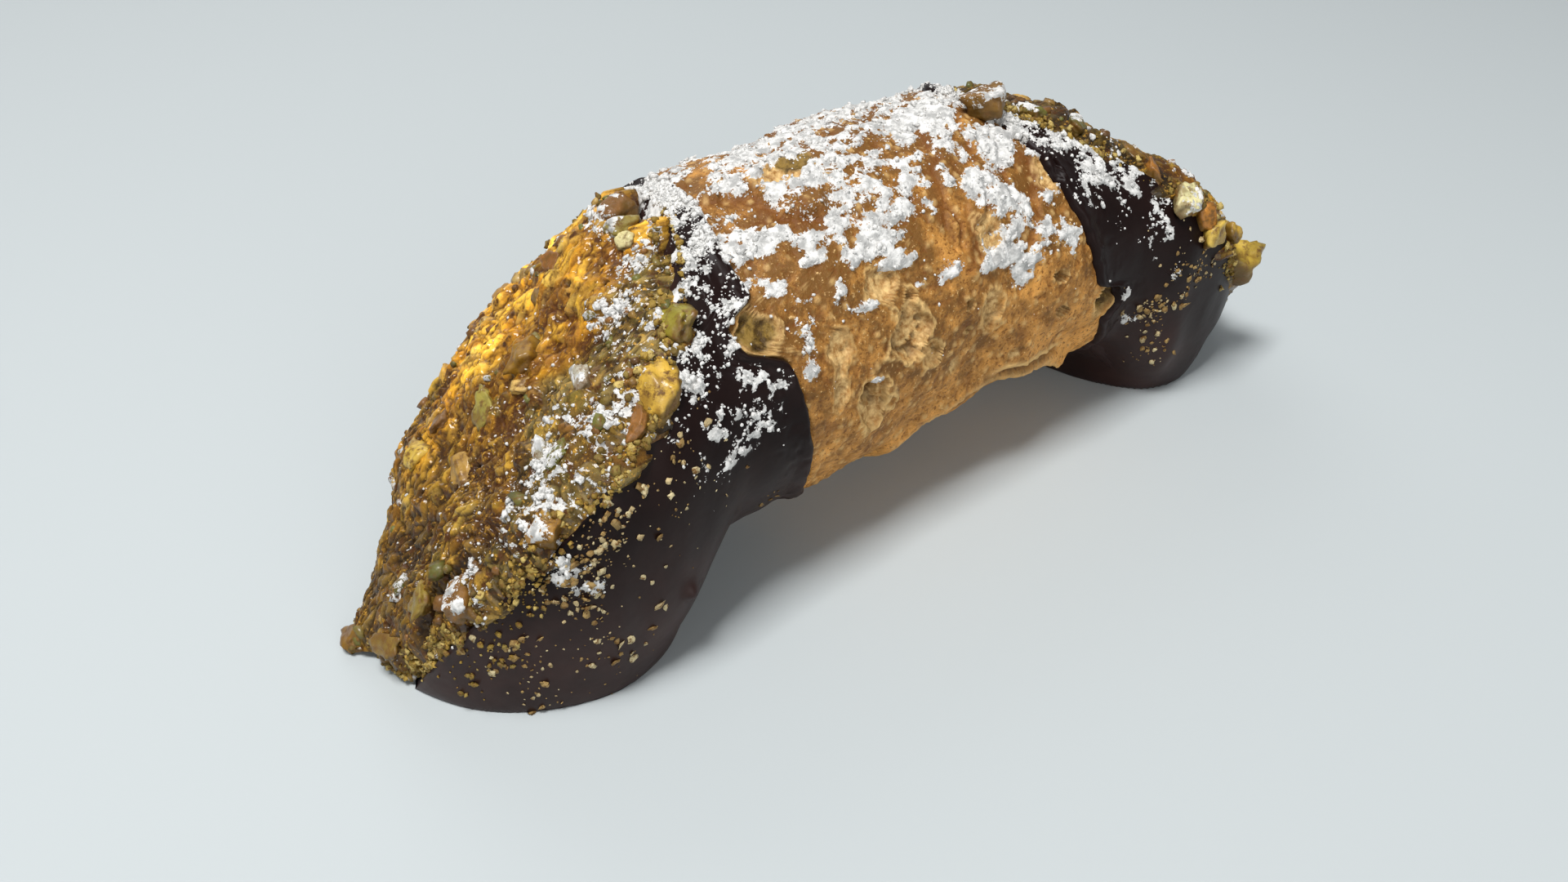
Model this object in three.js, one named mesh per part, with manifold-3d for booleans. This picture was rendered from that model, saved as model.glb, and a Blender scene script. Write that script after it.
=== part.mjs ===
// A filled pastry roll: a fried dough tube with slanted mouths, filled from end to end. Both ends are
// dipped in dark chocolate, which has run down and set as two flat feet, and both mouths are crusted
// with chopped nuts. Millimetres, +Z up, +X along the tube, -Y the front.
// The origin is on the ground, under the middle of the roll.
import * as THREE from "three";
import { mergeVertices } from "three/addons/utils/BufferGeometryUtils.js";
import Module from "manifold-3d";

const wasm = await Module();
wasm.setup();

// ---------------------------------------------------------------- driving sizes, mm and degrees

// The dough tube. It lies on its feet, so its underside is an arch above the ground.
// Its top falls by topFall from the middle to fallSpan, and is never less than leastAbove over the axis.
const TUBE = {
  halfWidth: 18.2,
  axisHeight: 22.3,
  archHeight: 4,
  top: 41.9,
  topFall: 3.5,
  fallSpan: 30,
  leastAbove: 12,
};
const DOUGH_WALL = 3;
const STEP_SLANT = 0.2; // run of the step down to where the dough is sunk under the chocolate
const RELIEF_FADE = 0.1; // the relief fades out over this share of the bare dough, at both ends
const CHOCOLATE = { thickness: 1.2, proud: 0.4, lip: 1.6, bead: 1.1 };
const GAP = 0.3; // clear space between two neighbours
const MOUTH_GAP = 0.5; // the same along the tube, where the faces of the mouths are slanted
const CORE_GAP = 0.6; // the cream inside keeps further off the wall, whose facets cut its corners
const ROLL_SHIFT = { x: -2.6, y: 0 }; // brings the middle of the whole roll over the origin

// Each end, in distances outwards from the middle of the tube. A mouth is cut on a slant: its reach
// grows downwards and forwards, and is dished, twisted and waved across, in mm at MOUTH.radius from the
// mouth's middle. The tube turns into a foot, and narrows to a tip, between the two distances given.
// The pool is the flat chocolate round a foot, from the ground to the heights low and high. The dip
// line swings by its swing from the top to the bottom, and leaves the narrowest strip at the mouth.
// The cream stands out of the mouth by the pillow's rise, and less towards its top by the sag.
const MOUTH = { height: 21, radius: 19 };
const LEFT = {
  side: -1,
  reach: { mean: 40.9, down: 17.8, forward: 6.5, dish: -1.6, twist: 2.2, wave: -1.4 },
  foot: { from: 26, to: 38, widen: 1.2, sink: 0.4 },
  tip: { from: 38.5, to: 60, lift: 0 },
  pool: { centre: 43.5, length: 16.5, width: 19, low: 3.5, high: 9 },
  dip: { start: 21.5, swing: -7, curve: 1.1, narrowest: 2.2 },
  pillow: { rise: 3, sag: 0.9 },
};
const RIGHT = {
  side: 1,
  reach: { mean: 43, down: 18.6, forward: 4.2, dish: -0.8, twist: 1.6, wave: 2 },
  foot: { from: 33, to: 42, widen: 2, sink: 0.4 },
  tip: { from: 46.3, to: 66, lift: 3.5 },
  pool: { centre: 46, length: 12, width: 19.5, low: 3, high: 8 },
  dip: { start: 21.5, swing: 12.5, curve: 1.4, narrowest: 1.4 },
  pillow: { rise: 5, sag: 1.4 },
};
const FOOT_DROP = 1.3; // the axis sinks by this much over a foot
const FOOT_SQUARENESS = 3; // added to the power 2 of the round lower half where it becomes a foot
const NARROWEST_TIP = 0.985; // share of the tip's length at which it stops narrowing
const POOL_RIM = { from: 0.92, to: 1.06 }; // the pool's flat top ends between these shares of its size
const LIFT_HEIGHT = 12; // the lift of a tip fades out by this height

// Soft waves of the fried dough: height, waves per mm along the tube, waves round it, phase.
const DOUGH_WAVES = [
  { height: 0.28, along: 0.16, around: 3, phase: 0.4 },
  { height: 0.24, along: 0.31, around: -4, phase: 2.1 },
  { height: 0.16, along: 0.52, around: 7, phase: 4 },
];
// The dough disc is rolled up, and its outer edge lies as a thin lens-shaped flap under the front.
// Its rise fades in over the share ends of its length, and over radians round its edge.
const FLAP = { middle: 11, halfLength: 17, angle: 34, swell: 15, rise: 0.8, ends: 0.3, fade: 0.16 };
// Burst blisters: place along the tube, angle round it from straight down, length, height, depth.
const BLISTERS = [
  { at: -3.6, angle: 105, length: 5.4, height: 7.4, depth: 1.1 },
  { at: -0.6, angle: 93, length: 3.4, height: 4.2, depth: 1 },
  { at: -9, angle: 81, length: 4.6, height: 6.6, depth: 1.3 },
  { at: 8.3, angle: 100, length: 3.4, height: 4.8, depth: 0.8 },
  { at: 18.8, angle: 101, length: 2, height: 1.4, depth: 1.2 },
  { at: 19.8, angle: 86, length: 2.2, height: 2.2, depth: 0.8 },
  { at: 27, angle: 80, length: 3.6, height: 3.4, depth: 1 },
  { at: -18.6, angle: 122, length: 4.6, height: 4.2, depth: 0.9 },
  { at: 4.6, angle: 112, length: 2.4, height: 2.2, depth: 0.7 },
  { at: -14, angle: 102, length: 3.6, height: 5, depth: 0.6 },
];

// The cream stands out of each mouth as a lumpy pillow with a long crease down the left one. Each lump
// wave has its height, turns per pillow radius upwards and forwards, and a phase.
const FILLING = { rimInset: 0.2, edge: 1.1, floor: 0.9, pillow: 6, lump: 0.55 };
const LUMP_WAVES = [
  { height: 0.5, up: -1, front: 18, phase: 1 },
  { height: 0.5, up: 11, front: -4, phase: -1 },
  { height: 0.6, up: 13, front: 0, phase: 2 },
];
const CREASE = { depth: 1.9, width: 0.085, bow: 0.5, middle: -0.1, span: 0.8 };

// The largest nut pieces of each mouth: share of the way from its middle to its rim, angle round it,
// and length, width and thickness.
const LEFT_NUTS = [
  { share: 0.93, angle: 142, size: [4.6, 3.2, 2] },
  { share: 0.94, angle: 122, size: [4, 3.8, 2.8] },
  { share: 0.18, angle: -13, size: [4.8, 3, 2.8] },
  { share: 0.62, angle: -56, size: [3.6, 3.4, 2.8] },
  { share: 0.34, angle: -172, size: [3.6, 3.4, 3.4] },
  { share: 0.24, angle: -120, size: [3.6, 2.6, 2.2] },
  { share: 0.7, angle: 134, size: [3.2, 2.8, 2.2] },
  { share: 0.95, angle: -170, size: [4.6, 3.6, 3.6] },
  { share: 0.86, angle: 176, size: [3.4, 3, 2.8] },
  { share: 0.62, angle: 30, size: [5, 4.2, 3.8] },
  { share: 0.93, angle: -9, size: [4.6, 3.6, 3] },
  { share: 0.86, angle: 92, size: [4.4, 3, 2.6] },
];
const RIGHT_NUTS = [
  { share: 0.94, angle: -178, size: [5.8, 5.2, 4.6] },
  { share: 0.95, angle: 107, size: [4, 3.4, 3] },
  { share: 0.95, angle: 95, size: [4.2, 3.4, 3] },
  { share: 0.93, angle: 78, size: [5, 4.4, 3.4] },
  { share: 0.9, angle: 128, size: [4.4, 3.4, 3] },
  { share: 0.93, angle: 150, size: [4, 3.2, 3] },
];
// The small nuts: how many at each mouth, their lengths, how far apart, and their width and thickness
// as shares of the length.
const SMALL_NUTS = {
  left: 28,
  right: 20,
  smallest: 2.8,
  largest: 4.4,
  spacing: 4.2,
  width: 0.8,
  thickness: 0.7,
};
const NUT_CORNERS = { least: 0.82, spread: 0.3 }; // how far out its corners are, in shares of half its size
const SUNK = 0.4; // share of a nut's thickness that is below the cream's surface
const NUT_AREA = { from: 0.02, to: 0.92 }; // the small nuts lie between these shares of the mouth's area
const ATTEMPTS = 40; // draws for a free place, before a small nut is left out
const CLEARANCE_SCALE = 1.15; // a nut this much larger still clears the chocolate and the dough
const HELD_SHARE = 0.15; // least share of a nut that is sunk in the cream
const MOVE_STEP = 0.35; // how far a nut that touches is moved outwards, at most MOVES times
const MOVES = 5;
const SEED = 4217;

// How finely each surface is cut.
const FURTHEST_REACH = 80;
const HALVINGS = 22;
const AROUND = 44;
const DOUGH_STEPS = { bare: 18, dipped: 4, inside: 7 };
const DIP_STEPS = 7;
const PILLOW_RINGS = 7;
const RING_CROWDING = 0.8; // below 1, the rings of a pillow crowd towards its edge
const MERGE_WITHIN = 1e-4;

const COLOURS = { dough: 0xb87a42, chocolate: 0x2e1d1c, filling: 0x94682a };

// ---------------------------------------------------------------- numbers

const radians = THREE.MathUtils.degToRad;
const mix = THREE.MathUtils.lerp;
const rise = (from, to, value) => THREE.MathUtils.smoothstep(value, from, to);

// The smaller of two lengths, with a rounded change from one to the other.
const softLeast = (a, b) => -Math.log(Math.exp(-a) + Math.exp(-b));

// A seeded stream of numbers from 0 to 1.
function randomStream(seed) {
  let state = seed;
  return () => {
    state = (state + 0x6d2b79f5) | 0;
    let mixed = Math.imul(state ^ (state >>> 15), 1 | state);
    mixed = (mixed + Math.imul(mixed ^ (mixed >>> 7), 61 | mixed)) ^ mixed;
    return ((mixed ^ (mixed >>> 14)) >>> 0) / 4294967296;
  };
}

// ---------------------------------------------------------------- the roll's surfaces

// How far out the face of a mouth is at a place (y, z) across the tube: a slanted plane, dished by a
// second-order wave round the middle and made uneven by a third-order one.
function mouthReach(end, { y, z }) {
  const { mean, down, forward, dish, twist, wave } = end.reach;
  const front = -y / MOUTH.radius;
  const low = (MOUTH.height - z) / MOUTH.radius;
  const second = dish * (low ** 2 - front ** 2) + twist * low * front;
  return mean + down * low + forward * front + second + wave * low * (low ** 2 - 3 * front ** 2);
}

// Where a surface of the tube, given as a function of x, runs out at a mouth: the span in which it
// crosses the mouth's face is halved again and again. Setback keeps it inside that face.
function runOut(end, surface, setback) {
  let near = 0;
  let far = FURTHEST_REACH;
  for (let pass = 0; pass < HALVINGS; pass += 1) {
    const middle = (near + far) / 2;
    const inside = middle < mouthReach(end, surface(end.side * middle)) - setback;
    near = inside ? middle : near;
    far = inside ? far : middle;
  }
  return surface((end.side * (near + far)) / 2);
}

// A point of the tube's skin: an ellipse above its axis and, below it, an ellipse that turns into a
// wide flat foot at both ends where feet is 1. Inset moves the point inwards.
function tubePoint(x, angle, inset, feet) {
  const end = x < 0 ? LEFT : RIGHT;
  const out = Math.abs(x);
  const foot = feet * rise(end.foot.from, end.foot.to, out);
  const axis = TUBE.axisHeight - FOOT_DROP * foot;
  const pastTip = (out - end.tip.from) / (end.tip.to - end.tip.from);
  const along = THREE.MathUtils.clamp(pastTip, 0, NARROWEST_TIP);
  const half = (TUBE.halfWidth + end.foot.widen * foot) * Math.sqrt(1 - along ** 2);
  const top = TUBE.top - TUBE.topFall * (out / TUBE.fallSpan) ** 2;
  const above = Math.max(top - axis, TUBE.leastAbove);
  const below = axis - TUBE.archHeight * (1 - foot);
  const down = Math.cos(angle) > 0;
  const power = down ? 2 + FOOT_SQUARENESS * foot : 2;
  const across = Math.abs(Math.sin(angle)) / (half - inset);
  const upright = Math.abs(Math.cos(angle)) / ((down ? below : above) - inset);
  const radius = (across ** power + upright ** power) ** (-1 / power);
  return new THREE.Vector3(x, -radius * Math.sin(angle), axis - radius * Math.cos(angle));
}

// The chocolate's outside: the tube with its feet, whose run-down chocolate has set as a flat pool.
function chocolatePoint(x, angle, inset) {
  const end = x < 0 ? LEFT : RIGHT;
  const point = tubePoint(x, angle, inset, 1);
  const { centre, length, width, low, high } = end.pool;
  const fromPool = Math.hypot((Math.abs(x) - centre) / length, point.y / width);
  const inPool = (1 - rise(low, high, point.z)) * (1 - rise(POOL_RIM.from, POOL_RIM.to, fromPool));
  const sink = end.foot.sink * rise(end.foot.from, end.foot.to, Math.abs(x));
  const tipShare = rise(end.tip.from, end.tip.to, Math.abs(x));
  const lift = end.tip.lift * tipShare * (1 - rise(0, LIFT_HEIGHT, point.z));
  point.z = Math.max(point.z * (1 - inPool) - sink, 0) + lift;
  return point;
}

// How far in the chocolate starts, as a distance from the middle: a slanted dip line, kept clear of
// the mouth so that the chocolate goes all round.
function dipReach(end, angle) {
  const low = (1 + Math.cos(angle)) / 2;
  const line = end.dip.start + end.dip.swing * low ** end.dip.curve;
  const mouth = runOut(end, (x) => chocolatePoint(x, angle, 0), 0);
  return softLeast(line, Math.abs(mouth.x) - CHOCOLATE.lip - end.dip.narrowest);
}

// Height of the dough's waves and of the flap of its outer edge, at a place on the tube.
function doughRelief(x, angle) {
  const waves = DOUGH_WAVES.map((w) => w.height * Math.sin(w.along * x + w.around * angle + w.phase));
  const lens = 1 - ((x - FLAP.middle) / FLAP.halfLength) ** 2;
  const flapEdge = radians(FLAP.angle + FLAP.swell * lens);
  const onEdge = 1 - rise(0, FLAP.fade, Math.abs(angle - flapEdge));
  const flap = FLAP.rise * rise(0, FLAP.ends, lens) * onEdge;
  return waves.reduce((sum, height) => sum + height, flap);
}

const doughPoint = (x, angle, inset) => tubePoint(x, angle, inset, 0);

// The cream's outside at a mouth: share 1 is its edge, share 0 its middle. It stands proud of the
// face of the mouth like a pillow, which is flat in the middle and drops at the edge.
function pillowPoint(end, share, angle) {
  const edge = runOut(end, (x) => chocolatePoint(x, angle, FILLING.rimInset), -MOUTH_GAP - FILLING.edge);
  const point = new THREE.Vector3(0, share * edge.y, mix(MOUTH.height, edge.z, share));
  point.x = end.side * (mouthReach(end, point) + MOUTH_GAP + FILLING.edge);
  const { down, forward } = end.reach;
  const outward = new THREE.Vector3(end.side, forward / MOUTH.radius, down / MOUTH.radius).normalize();
  const up = -share * Math.cos(angle);
  const front = share * Math.sin(angle);
  const dome = 1 - share ** FILLING.pillow;
  const lumps = LUMP_WAVES.map((w) => w.height * Math.sin(w.up * up + w.front * front + w.phase));
  const lumpy = FILLING.lump * lumps.reduce((sum, height) => sum + height, 0);
  let height = (end.pillow.rise - end.pillow.sag * up + lumpy) * dome;
  if (end === LEFT) {
    const crease = CREASE.bow * (1 - ((up - CREASE.middle) / CREASE.span) ** 2);
    height -= CREASE.depth * dome * Math.exp(-(((front - crease) / CREASE.width) ** 2));
  }
  point.addScaledVector(outward, height);
  point.z = Math.max(point.z, FILLING.floor);
  return { point, outward };
}

// ---------------------------------------------------------------- surfaces to solids

// Joins rings of points, each going once round the tube, into one closed surface. The first and the
// last ring are joined when the rings make a loop, and each is closed by its one point otherwise.
function ringSurface(rings, loop) {
  const points = [];
  const starts = rings.map((ring) => {
    points.push(...ring.map((p) => p.toArray()).flat());
    return points.length / 3 - ring.length;
  });
  const faces = [];
  const pairs = loop ? rings.length : rings.length - 1;
  for (let r = 0; r < pairs; r += 1) {
    const next = (r + 1) % rings.length;
    for (let i = 0; i < AROUND; i += 1) {
      const j = (i + 1) % AROUND;
      const [a, b] = [i, j].map((k) => starts[r] + (rings[r].length === 1 ? 0 : k));
      const [c, d] = [i, j].map((k) => starts[next] + (rings[next].length === 1 ? 0 : k));
      if (a !== b) faces.push(a, c, b);
      if (c !== d) faces.push(b, c, d);
    }
  }
  const geometry = new THREE.BufferGeometry();
  geometry.setAttribute("position", new THREE.Float32BufferAttribute(points, 3));
  geometry.setIndex(faces);
  return geometry;
}

// One ring: pointAt gives the point for each angle.
function ring(pointAt) {
  return Array.from({ length: AROUND }, (_, i) => pointAt((2 * Math.PI * i) / AROUND));
}

function solidOf(geometry) {
  const bare = new THREE.BufferGeometry().setAttribute("position", geometry.getAttribute("position"));
  if (geometry.index) bare.setIndex(geometry.index);
  const merged = mergeVertices(bare, MERGE_WITHIN);
  const triVerts = new Uint32Array(merged.index.array);
  const vertProperties = merged.getAttribute("position").array;
  return new wasm.Manifold(new wasm.Mesh({ numProp: 3, vertProperties, triVerts }));
}

function meshOf(name, solid, colour, roughness) {
  const made = solid.getMesh();
  const geometry = new THREE.BufferGeometry();
  geometry.setAttribute("position", new THREE.Float32BufferAttribute(made.vertProperties, made.numProp));
  geometry.setIndex(Array.from(made.triVerts));
  geometry.computeVertexNormals();
  const mesh = new THREE.Mesh(geometry, new THREE.MeshStandardMaterial({ color: colour, roughness }));
  mesh.name = name;
  return mesh;
}

const shares = (steps) => Array.from({ length: steps + 1 }, (_, i) => i / steps);

// ---------------------------------------------------------------- the dough

// Where a surface of the dough ends at a mouth: behind the lip of chocolate.
const doughMouth = (end, angle, inset) =>
  runOut(end, (x) => doughPoint(x, angle, inset), CHOCOLATE.lip + MOUTH_GAP).x;

// Rings of the hollow inside the tube, from the left mouth to the right one.
function bore(inset) {
  return shares(DOUGH_STEPS.inside).map((s) =>
    ring((a) => doughPoint(mix(doughMouth(LEFT, a, inset), doughMouth(RIGHT, a, inset), s), a, inset)),
  );
}

// The tube's wall: outside from the left mouth to the right one, back along the inside. Under the
// chocolate the outside is sunk, so that the two lie against each other.
function doughTube() {
  const sunk = CHOCOLATE.thickness - CHOCOLATE.proud + GAP;
  const dip = (end, angle) => end.side * dipReach(end, angle);
  const bareStart = (angle) => dip(LEFT, angle) + GAP;
  const bareEnd = (angle) => dip(RIGHT, angle) - GAP;
  const rings = [];
  for (const s of shares(DOUGH_STEPS.dipped)) {
    rings.push(ring((a) => doughPoint(mix(doughMouth(LEFT, a, sunk), bareStart(a), s), a, sunk)));
  }
  for (const s of shares(DOUGH_STEPS.bare)) {
    const fade = rise(0, RELIEF_FADE, s) * (1 - rise(1 - RELIEF_FADE, 1, s));
    rings.push(
      ring((a) => {
        const x = mix(bareStart(a) + STEP_SLANT, bareEnd(a) - STEP_SLANT, s);
        return doughPoint(x, a, -fade * doughRelief(x, a));
      }),
    );
  }
  for (const s of shares(DOUGH_STEPS.dipped)) {
    rings.push(ring((a) => doughPoint(mix(bareEnd(a), doughMouth(RIGHT, a, sunk), s), a, sunk)));
  }
  rings.push(...bore(DOUGH_WALL).reverse());
  return solidOf(ringSurface(rings, true));
}

// A burst blister: a flattened many-sided pebble, half sunk in the wall, that is cut out of it.
function blisterCutter({ at, angle, length, height, depth }) {
  const surface = doughPoint(at, radians(angle), 0);
  const inner = doughPoint(at, radians(angle), 1);
  const normal = surface.clone().sub(inner).normalize();
  const along = new THREE.Vector3(1, 0, 0).addScaledVector(normal, -normal.x).normalize();
  const around = normal.clone().cross(along);
  const pebble = new THREE.IcosahedronGeometry(1, 1);
  pebble.scale(length / 2, height / 2, depth);
  const place = new THREE.Matrix4().makeBasis(along, around, normal).setPosition(surface);
  return solidOf(pebble.applyMatrix4(place));
}

function shell() {
  return BLISTERS.reduce((dough, blister) => dough.subtract(blisterCutter(blister)), doughTube());
}

// ---------------------------------------------------------------- the chocolate

// One dipped end: outside from the dip line to the mouth, over the lip, and back against the dough.
function chocolate(end) {
  const inner = CHOCOLATE.thickness - CHOCOLATE.proud;
  const start = (a) => end.side * dipReach(end, a);
  const outside = (x, a) => chocolatePoint(x, a, -CHOCOLATE.proud);
  const mouth = (a) => runOut(end, (x) => outside(x, a), 0).x;
  const lipMouth = (a, inset, setback) => runOut(end, (x) => doughPoint(x, a, inset), setback);
  const rings = [ring((a) => chocolatePoint(start(a), a, 0))];
  for (const s of shares(DIP_STEPS)) {
    const bead = end.side * CHOCOLATE.bead * (1 - s);
    rings.push(ring((a) => outside(mix(start(a), mouth(a), s) + bead, a)));
  }
  rings.push(ring((a) => lipMouth(a, DOUGH_WALL, 0)));
  rings.push(ring((a) => lipMouth(a, DOUGH_WALL, CHOCOLATE.lip)));
  for (const s of shares(DIP_STEPS - 2)) {
    rings.push(ring((a) => doughPoint(mix(lipMouth(a, inner, CHOCOLATE.lip).x, start(a), s), a, inner)));
  }
  if (end === RIGHT) return solidOf(ringSurface(rings, true));
  return solidOf(ringSurface(rings.reverse(), true));
}

// ---------------------------------------------------------------- the cream and its nuts

// The cream: a core that fills the tube, and a pillow over each mouth that covers its rim.
function cream() {
  const core = DOUGH_WALL + CORE_GAP;
  const pole = (end) => [pillowPoint(end, 0, 0).point];
  const pillow = (end) =>
    shares(PILLOW_RINGS)
      .slice(1)
      .map((s) => ring((a) => pillowPoint(end, s ** RING_CROWDING, a).point));
  const collar = (end) => [
    ring((a) => {
      const { point } = pillowPoint(end, 1, a);
      point.x -= end.side * FILLING.edge;
      return point;
    }),
    ring((a) => runOut(end, (x) => doughPoint(x, a, core), -MOUTH_GAP)),
  ];
  const rings = [
    pole(LEFT),
    ...pillow(LEFT),
    ...collar(LEFT),
    ...bore(core),
    ...collar(RIGHT).reverse(),
    ...pillow(RIGHT).reverse(),
    pole(RIGHT),
  ];
  return solidOf(ringSurface(rings, false));
}

// One chopped nut: a twenty-sided pebble with uneven corners, turned at random about the mouth's
// outward direction and partly sunk in the cream.
function nut(random, { point, outward }, [length, width, thickness], grow) {
  const pebble = new THREE.IcosahedronGeometry(1, 0);
  const bare = new THREE.BufferGeometry().setAttribute("position", pebble.getAttribute("position"));
  const corners = mergeVertices(bare);
  const place = corners.getAttribute("position");
  for (let i = 0; i < place.count; i += 1) {
    const uneven = NUT_CORNERS.least + NUT_CORNERS.spread * random();
    place.setXYZ(i, place.getX(i) * uneven, place.getY(i) * uneven, place.getZ(i) * uneven);
  }
  corners.scale((length / 2) * grow, (width / 2) * grow, (thickness / 2) * grow);
  const turn = new THREE.Quaternion().setFromUnitVectors(new THREE.Vector3(0, 0, 1), outward);
  turn.multiply(new THREE.Quaternion().setFromAxisAngle(new THREE.Vector3(0, 0, 1), Math.PI * random()));
  const centre = point.clone().addScaledVector(outward, thickness * (0.5 - SUNK));
  corners.applyMatrix4(new THREE.Matrix4().compose(centre, turn, new THREE.Vector3(1, 1, 1)));
  return solidOf(corners);
}

// Places of the small nuts of a mouth, drawn at random and kept a spacing apart, largest first.
function scatter(random, end, count, taken) {
  const { smallest, largest, spacing, width, thickness } = SMALL_NUTS;
  const sizes = Array.from({ length: count }, () => mix(smallest, largest, random()));
  const placed = [];
  for (const size of sizes.sort((a, b) => b - a)) {
    for (let attempt = 0; attempt < ATTEMPTS; attempt += 1) {
      const share = Math.sqrt(mix(NUT_AREA.from, NUT_AREA.to, random()));
      const angle = 360 * random();
      const { point } = pillowPoint(end, share, radians(angle));
      if (taken.every((other) => other.distanceTo(point) > spacing)) {
        taken.push(point);
        placed.push({ share, angle, size: [size, size * width, size * thickness] });
        break;
      }
    }
  }
  return placed;
}

// Fuses the nuts of one mouth to the cream. A nut that would touch the chocolate or the dough is
// moved outwards until it is clear, and one that would reach the ground is left out.
function withNuts(body, end, large, small, seed, neighbours) {
  const random = randomStream(seed);
  const taken = large.map(({ share, angle }) => pillowPoint(end, share, radians(angle)).point);
  const all = [...large, ...scatter(random, end, small, taken)];
  return all.reduce((sum, { share, angle, size }, index) => {
    const spot = pillowPoint(end, share, radians(angle));
    for (let move = 0; move < MOVES; move += 1) {
      const swollen = nut(randomStream(seed + index), spot, size, CLEARANCE_SCALE);
      const piece = nut(randomStream(seed + index), spot, size, 1);
      const held = piece.intersect(sum).volume() > HELD_SHARE * piece.volume();
      if (!held || swollen.boundingBox().min[2] < FILLING.floor / 2) return sum;
      if (neighbours.every((other) => swollen.intersect(other).volume() === 0)) return sum.add(piece);
      spot.point.addScaledVector(spot.outward, MOVE_STEP);
    }
    return sum;
  }, body);
}

// ---------------------------------------------------------------- the roll

const dough = shell();
const leftDip = chocolate(LEFT);
const rightDip = chocolate(RIGHT);
const leftHalf = withNuts(cream(), LEFT, LEFT_NUTS, SMALL_NUTS.left, SEED, [leftDip, dough]);
const filled = withNuts(leftHalf, RIGHT, RIGHT_NUTS, SMALL_NUTS.right, 2 * SEED, [rightDip, dough]);

const roll = new THREE.Group();
roll.add(
  meshOf("shell", dough, COLOURS.dough, 0.75),
  meshOf("chocolate_left", leftDip, COLOURS.chocolate, 0.35),
  meshOf("chocolate_right", rightDip, COLOURS.chocolate, 0.35),
  meshOf("filling", filled, COLOURS.filling, 0.4),
);
roll.position.set(ROLL_SHIFT.x, ROLL_SHIFT.y, 0);

export default roll;
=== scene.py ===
# %% [markdown]
# # A filled pastry roll, dipped in chocolate
#
# The roll is a fried dough tube, filled with pistachio cream and nuts. Both ends were dipped in dark
# chocolate, which ran down and set as two feet, and icing sugar was sieved over the top. The packed
# solids give every piece its place. Each piece here is that same form worked out again on a finer grid,
# because crumb, blisters and sugar are smaller than the faces of a solid can be.

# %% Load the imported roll
import itertools
import math
from types import SimpleNamespace as Named

import bmesh
import bpy
import numpy as np
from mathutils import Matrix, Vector


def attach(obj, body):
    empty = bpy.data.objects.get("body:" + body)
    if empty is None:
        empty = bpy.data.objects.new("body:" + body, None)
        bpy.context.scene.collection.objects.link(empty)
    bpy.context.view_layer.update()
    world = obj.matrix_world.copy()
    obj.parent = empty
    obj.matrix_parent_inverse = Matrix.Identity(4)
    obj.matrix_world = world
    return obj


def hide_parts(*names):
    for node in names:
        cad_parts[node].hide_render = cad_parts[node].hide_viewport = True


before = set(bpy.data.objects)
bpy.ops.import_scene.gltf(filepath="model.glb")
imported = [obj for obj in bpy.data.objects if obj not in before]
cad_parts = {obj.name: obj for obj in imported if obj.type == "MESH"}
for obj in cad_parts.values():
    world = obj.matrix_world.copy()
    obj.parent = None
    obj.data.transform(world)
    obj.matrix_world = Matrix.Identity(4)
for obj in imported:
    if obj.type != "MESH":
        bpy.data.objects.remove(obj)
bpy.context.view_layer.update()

# %% [markdown]
# ## Small tools for shapes
#
# A surface is a function of two numbers on a grid, so every tool works on whole arrays. The unevenness
# of food is made of two kinds of noise. Clouds are soft random hills of one size. Pebbles are cells,
# each round its own random centre, and look like packed crumbs. Both are read at points in space, so
# they have no seam where a grid closes.

# %% Smooth steps and noise
LATTICE = 32  # a noise repeats after this many of its own steps
OCTAVE_SHIFT = 7.3  # steps from one octave's lattice to the next one's, so that their corners part
FAR = 9.0  # steps, further than the nearest centre ever is


def rise(low, high, value):
    """0 below low, 1 above high, and the smooth curve 3t^2 - 2t^3 in between."""
    t = np.clip((value - low) / (high - low), 0, 1)
    return t * t * (3 - 2 * t)


def bump(distance, width):
    """A bell: 1 at distance 0, falling as exp(-(distance/width)^2)."""
    return np.exp(-((distance / width) ** 2))


def clouds(points, size, seed, octaves=1):
    """Random values on a cubic lattice with steps of size mm, blended smoothly in between, from -1 to 1.
    Each further octave has half the step and half the height, and is added to it."""
    values = np.random.default_rng(seed).random((LATTICE,) * 3)
    total = np.zeros(points.shape[:-1])
    for octave in range(octaves):
        cell = points / (size / 2**octave) + OCTAVE_SHIFT * octave
        base = np.floor(cell).astype(int)
        part = cell - base
        part = part * part * (3 - 2 * part)
        for corner in itertools.product((0, 1), repeat=3):
            share = np.where(corner, part, 1 - part).prod(-1)
            i, j, k = np.moveaxis((base + corner) % LATTICE, -1, 0)
            total += share * (2 * values[i, j, k] - 1) / 2**octave
    return total


def pebbles(points, size, seed):
    """For cells round jittered lattice points: the distance to the nearest centre and to the second
    nearest, in steps of size mm, and a random number of the nearest cell."""
    jitter = np.random.default_rng(seed).random((LATTICE,) * 3 + (4,))
    cell = points / size
    base = np.floor(cell).astype(int)
    first = np.full(points.shape[:-1], FAR)
    second = first.copy()
    owner = np.zeros(points.shape[:-1])
    for offset in itertools.product((-1, 0, 1), repeat=3):
        spot = base + offset
        i, j, k = np.moveaxis(spot % LATTICE, -1, 0)
        found = jitter[i, j, k]
        distance = np.linalg.norm(spot + found[..., :3] - cell, axis=-1)
        nearer = distance < first
        second = np.where(nearer, first, np.minimum(second, distance))
        owner = np.where(nearer, found[..., 3], owner)
        first = np.where(nearer, distance, first)
    return first, second, owner


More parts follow.
